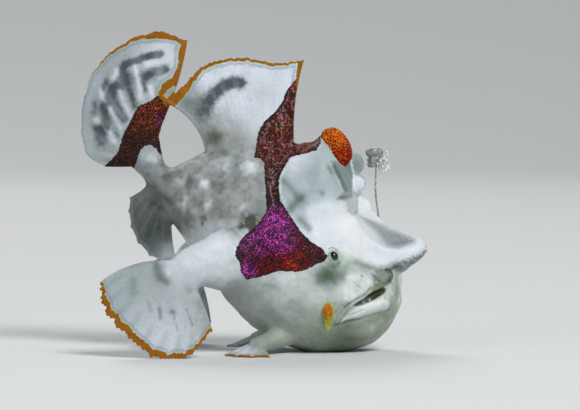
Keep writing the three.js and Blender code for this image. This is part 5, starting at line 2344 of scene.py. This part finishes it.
@dataclass
class Studio:
    """A round pale floor that curves up into a wall, three soft lights and the camera."""

    flat_radius_m: float = 2.2
    sweep_radius_m: float = 1.6
    world_tone: tuple[float, ...] = (0.86, 0.9, 0.93)
    world_strength: float = 0.2

    def build(self, shift: np.ndarray) -> None:
        """Makes all of it.

        Args:
            shift: mm from the shapes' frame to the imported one, for the camera.
        """
        self.floor()
        self.light("key", (1.1, -1.7, 1.9), 0.9, 52.0)
        self.light("fill", (-2.0, -1.6, 0.8), 1.6, 9.0)
        self.light("back", (-0.7, 1.8, 2.2), 1.2, 28.0)
        world = bpy.data.worlds.new("studio")
        world.use_nodes = True
        world.node_tree.nodes["Background"].inputs[0].default_value = (*self.world_tone, 1)
        world.node_tree.nodes["Background"].inputs[1].default_value = self.world_strength
        bpy.context.scene.world = world
        bpy.context.scene.view_settings.view_transform = "Standard"
        VIEW.make_camera(shift)

    def floor(self) -> None:
        """A surface of revolution: a flat disc, then a quarter circle up."""
        turn = np.linspace(0, np.pi / 2, 13)
        sweep = self.flat_radius_m + self.sweep_radius_m * np.sin(turn)
        radius = np.concatenate([[0.0005, 0.4, 1.0], sweep])[:, None]
        height = np.concatenate([[0, 0, 0], self.sweep_radius_m * (1 - np.cos(turn))])[:, None]
        around = np.linspace(0, 2 * np.pi, 97)[:-1]
        circle = radius * np.cos(around), radius * np.sin(around), height + 0 * around
        points = np.stack(circle, axis=-1).reshape(-1, 3)
        number = np.arange(len(points)).reshape(len(radius), -1)
        after = np.roll(number, -1, axis=1)
        faces = np.stack([number[:-1], number[1:], after[1:], after[:-1]], axis=-1).reshape(-1, 4)
        floor = add_mesh("studio_floor", Shell(points / MM, faces), np.zeros(3))
        floor.data.materials.append(FloorFinish("studio_floor").material())

    def light(self, name: str, at: Points, size: float, watts: float) -> None:
        """Adds a square soft light that faces the fish.

        Args:
            name: its name.
            at: its place, in metres.
            size: the length of its sides, in metres.
            watts: its power.
        """
        data = bpy.data.lights.new(name, "AREA")
        data.energy = watts
        data.size = size
        lamp = bpy.data.objects.new(name, data)
        lamp.location = at
        lamp.rotation_mode = "QUATERNION"
        lamp.rotation_quaternion = (Vector((0, 0, 0.045)) - Vector(at)).to_track_quat("-Z", "Y")
        bpy.context.scene.collection.objects.link(lamp)


# The whole fish


SPREAD = {Side.RIGHT: 1.0, Side.LEFT: 0.84}
DRAWN_TO = np.array([-24.0, 0.0, -0.45])
PECTORAL_TIP = (
    (-45.6, 25.0, 21.6), (-43.8, 26.0, 13.4), (-37.2, 27.4, 6.0), (-28.6, 28.6, -0.4),
    (-19.4, 28.4, -0.5), (-11.7, 26.4, 7.6),
)


def side_points(points: Points, side: Side) -> np.ndarray:
    """The left side's points, mirrored for the right."""
    return np.asarray(points, float) * [1, side.value, 1]


def median_fins() -> list[Fin]:
    """The fins of the mid-plane."""
    dorsal = Fin(
        name="dorsal_membrane", node="dorsal_fin",
        root=((12.3, 58.7), (4.8, 58.3), (-2.7, 58.0), (-9.6, 56.6), (-14.4, 55.6)),
        tip=((15.0, 87.6), (6.6, 86.7), (-4.2, 88.3), (-14.7, 86.1), (-21.3, 79.8), (-27.3, 75.0)),
        bow=(0.05, 0.02, -0.02, -0.07, -0.17), rays=12, root_thick=3.4, edge_thick=0.5,
        ray_rise=0.2, notch=0.012, sway=-3.2, sway_power=3, follows_tail=True,
        margin_mm=(0.5, 0.9, 1.0, 1.0, 1.3, 2.4, 3.4), base_share=0.45, fray=0.006, ray_show=0.4,
        streaks=(
            Streak(((240, 83), (233, 82), (224, 86), (215, 93), (208, 102)), 1.7),
            Streak(((207, 103), (203, 113)), 2.4, 0.6),
        ),
        band=(
            (197, 70), (186, 84), (172, 100), (164, 108), (150, 104), (160, 78), (180, 66), (190, 50),
            (309, 50), (311, 62), (306, 86), (295.5, 86), (296.5, 73), (298.3, 62), (297, 52), (200, 52),
        ),
    )
    caudal = Fin(
        name="caudal_membrane", node="caudal_fin",
        root=((-33.9, 55.2), (-33.3, 59.7), (-31.4, 63.6), (-28.8, 66.0)),
        tip=(
            (-45.0, 55.2), (-50.4, 58.8), (-52.2, 65.7), (-51.9, 73.8), (-49.2, 82.8), (-43.8, 89.4),
            (-36.3, 94.2), (-27.9, 96.1), (-20.1, 93.3),
        ),
        bow=(0, 0, 0.01, 0.02, -0.04), rays=9, root_thick=3.2, edge_thick=0.5, ray_rise=0.6,
        notch=0.012, sway=3.4, sway_power=4, follows_tail=True, per_gap=18, base_share=0.3,
        fray=0.006, ray_width=0.2, ray_from=0.2, gap_shade=0.35, gap_from=0.3, gap_end=0.9,
        gap_until=0.72,
        window=((164, 96), (168, 90), (174.5, 86), (176.5, 87.5), (171.5, 94), (166, 99)),
        margin_mm=(-0.7, -0.7, -0.5, -0.1, 0.5, 1.0, 1.4, 1.7),
        streaks=(
            Streak(((161, 54), (151, 55), (143, 56.5), (138, 60), (130, 62), (124, 65), (123, 73)), 1.0),
            Streak(((125, 77), (125.5, 82)), 1.7),
            Streak(((123, 86), (116, 85), (111, 88)), 1.0, 0.9),
            Streak(((111, 90), (111, 101)), 1.4),
            Streak(((165, 69.5), (154, 73), (144, 77)), 1.3),
            Streak(((143, 79), (145.5, 90)), 0.7, 0.7),
            Streak(((129, 90), (134.5, 106)), 1.0, 0.8),
            Streak(((115, 103), (124, 119)), 1.1, 0.85),
            Streak(((103, 106), (106, 118), (107, 126)), 1.1, 0.9),
            Streak(((99, 130), (102, 140)), 1.5),
            Streak(((114, 129), (118, 135)), 0.8, 0.5),
            Streak(((106, 81), (104, 88)), 0.9, 0.7),
            Streak(((95, 104), (94, 114)), 1.0, 0.5),
        ),
        band=(
            (90, 62), (104, 56), (120, 45), (142, 38), (160, 38), (174, 39), (180, 43), (178, 51),
            (178, 65), (172, 78), (163, 83), (158, 94), (166, 108), (200, 90), (200, 20), (140, 20),
        ),
    )
    anal = Fin(
        name="anal_membrane", node="anal_fin",
        root=((-30.6, 51.2), (-28.6, 49.0), (-26.9, 46.4), (-24.9, 43.8)),
        tip=(
            (-37.5, 45.9), (-37.8, 40.8), (-36.6, 35.1), (-33.0, 29.7), (-28.2, 26.4), (-23.2, 26.1),
        ),
        bow=(0.05, 0, -0.04), rays=7, root_thick=2.8, edge_thick=0.5, ray_rise=0.3, notch=0.04,
        follows_tail=True, margin_mm=(0.3, 0.2, 0.1),
    )
    return [dorsal, caudal, anal]


def paired_fins(side: Side) -> list[Fin]:
    """The pectoral and the pelvic fin of one side.

    Args:
        side: the side, where the left pectoral fin is a little more closed.

    Returns:
        The pectoral fin, then the pelvic one.
    """
    spread = SPREAD[side]
    pectoral = Fin(
        name=f"pectoral_membrane_{side.label}", node=f"pectoral_fin_{side.label}",
        root=side_points(
            ((-21.6, 23.9, 28.0), (-21.6, 24.0, 25.2), (-20.0, 24.0, 22.8), (-17.4, 23.7, 21.6)), side
        ),
        tip=DRAWN_TO + (side_points(PECTORAL_TIP, side) - DRAWN_TO) * (spread, 1, spread),
        bow=(-0.11 * spread, -0.05, 0, 0.02, 0.03), rays=10, root_thick=3.2, edge_thick=0.6,
        ray_rise=0.35, notch=0.025, base_share=0.6, base_edge=1.3, fray=0.02, gap_shade=0.3,
        margin_mm=(0.9, 2.0, 2.4, 2.4, 2.3, 2.3, 1.9, 1.2),
    )
    pelvic = Fin(
        name=f"pelvic_membrane_{side.label}", node=f"pelvic_fin_{side.label}",
        root=side_points(((2.6, 16.8, 2.6), (0.9, 16.0, 2.7), (0.9, 14.2, 2.8)), side),
        tip=side_points(
            (
                (5.0, 24.6, -0.35), (-0.6, 25.6, -0.35), (-5.6, 23.6, -0.35), (-8.6, 19.2, -0.35),
                (-8.6, 14.2, -0.35),
            ),
            side,
        ),
        bow=(0, 0, 0), rays=5, root_thick=2.6, edge_thick=0.7, ray_rise=0.5, notch=0.12,
        margin_mm=(1.0, 1.2, 1.2, 1.0),
    )
    return [pectoral, pelvic]


def warts() -> list[tuple[Wart, WartFinish]]:
    """The wart on the hump's tip and one at each corner of the mouth.

    Returns:
        Each with its finish.
    """
    hot = WartFinish(
        "orange_wart", light=(1.0, 0.2, 0.0), deep=(0.4, 0.01, 0.0), glow=(1.0, 0.36, 0.0),
        rim=(0.1, 0.2, 0.03), specks=0.9, cell_mm=0.5,
    )
    mild = WartFinish(
        "amber_wart", light=(0.7, 0.17, 0.0), deep=(0.5, 0.5, 0.05), glow=(0.75, 0.36, 0.0),
        rim=(0.44, 0.55, 0.16), specks=0.6, cell_mm=0.55,
    )
    tip = Wart(
        "tip_wart", "spine_tip_wart", (24.6, -2.9, 61.2), (4.2, 3.0, 6.6), Side.RIGHT,
        fringe_at=-0.25, fringe_width=0.12, splay=-0.4, lean=-0.5,
    )
    found = [(tip, hot)]
    for side in Side:
        node = f"mouth_wart_{side.label}"
        wart = Wart(
            f"lip_wart_{side.label}", node, Piece().node_middle(node), (2.0, 1.5, 4.3), side,
            fringe_at=0.1, fringe_width=0.4, narrowing=0.55, pimple_mm=0.1,
        )
        found.append((wart, mild))
    return found


def main() -> None:
    """Builds every piece in order."""
    logging.basicConfig(level=logging.INFO, format="%(name)s: %(message)s")
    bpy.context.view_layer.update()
    effects = SkinEffects()
    Studio().build(Piece.shift)
    fins = [*median_fins(), *[fin for side in Side for fin in paired_fins(side)]]
    Skin().build(HideFinish("wet_hide", effects), [fin.base() for fin in fins])
    membrane = HideFinish("fin_membrane", effects, mottling=0.7, roughness=0.38, is_fin=True)
    membrane = membrane.material()
    for fin in fins:
        fin.build(membrane)
    eye_finish = EyeFinish("wet_eye").material()
    for side in Side:
        Eye(side).build(eye_finish)
    for wart, finish in warts():
        wart.build(finish.material())
    Rod().build(LureFinish("rod_flesh", (0.4, 0.42, 0.36), (0.7, 0.72, 0.68)).material())
    Lure().build(LureFinish("lure_flesh", (0.3, 0.34, 0.3), (0.9, 0.92, 0.9)).material())


if __name__ == "__main__":
    main()
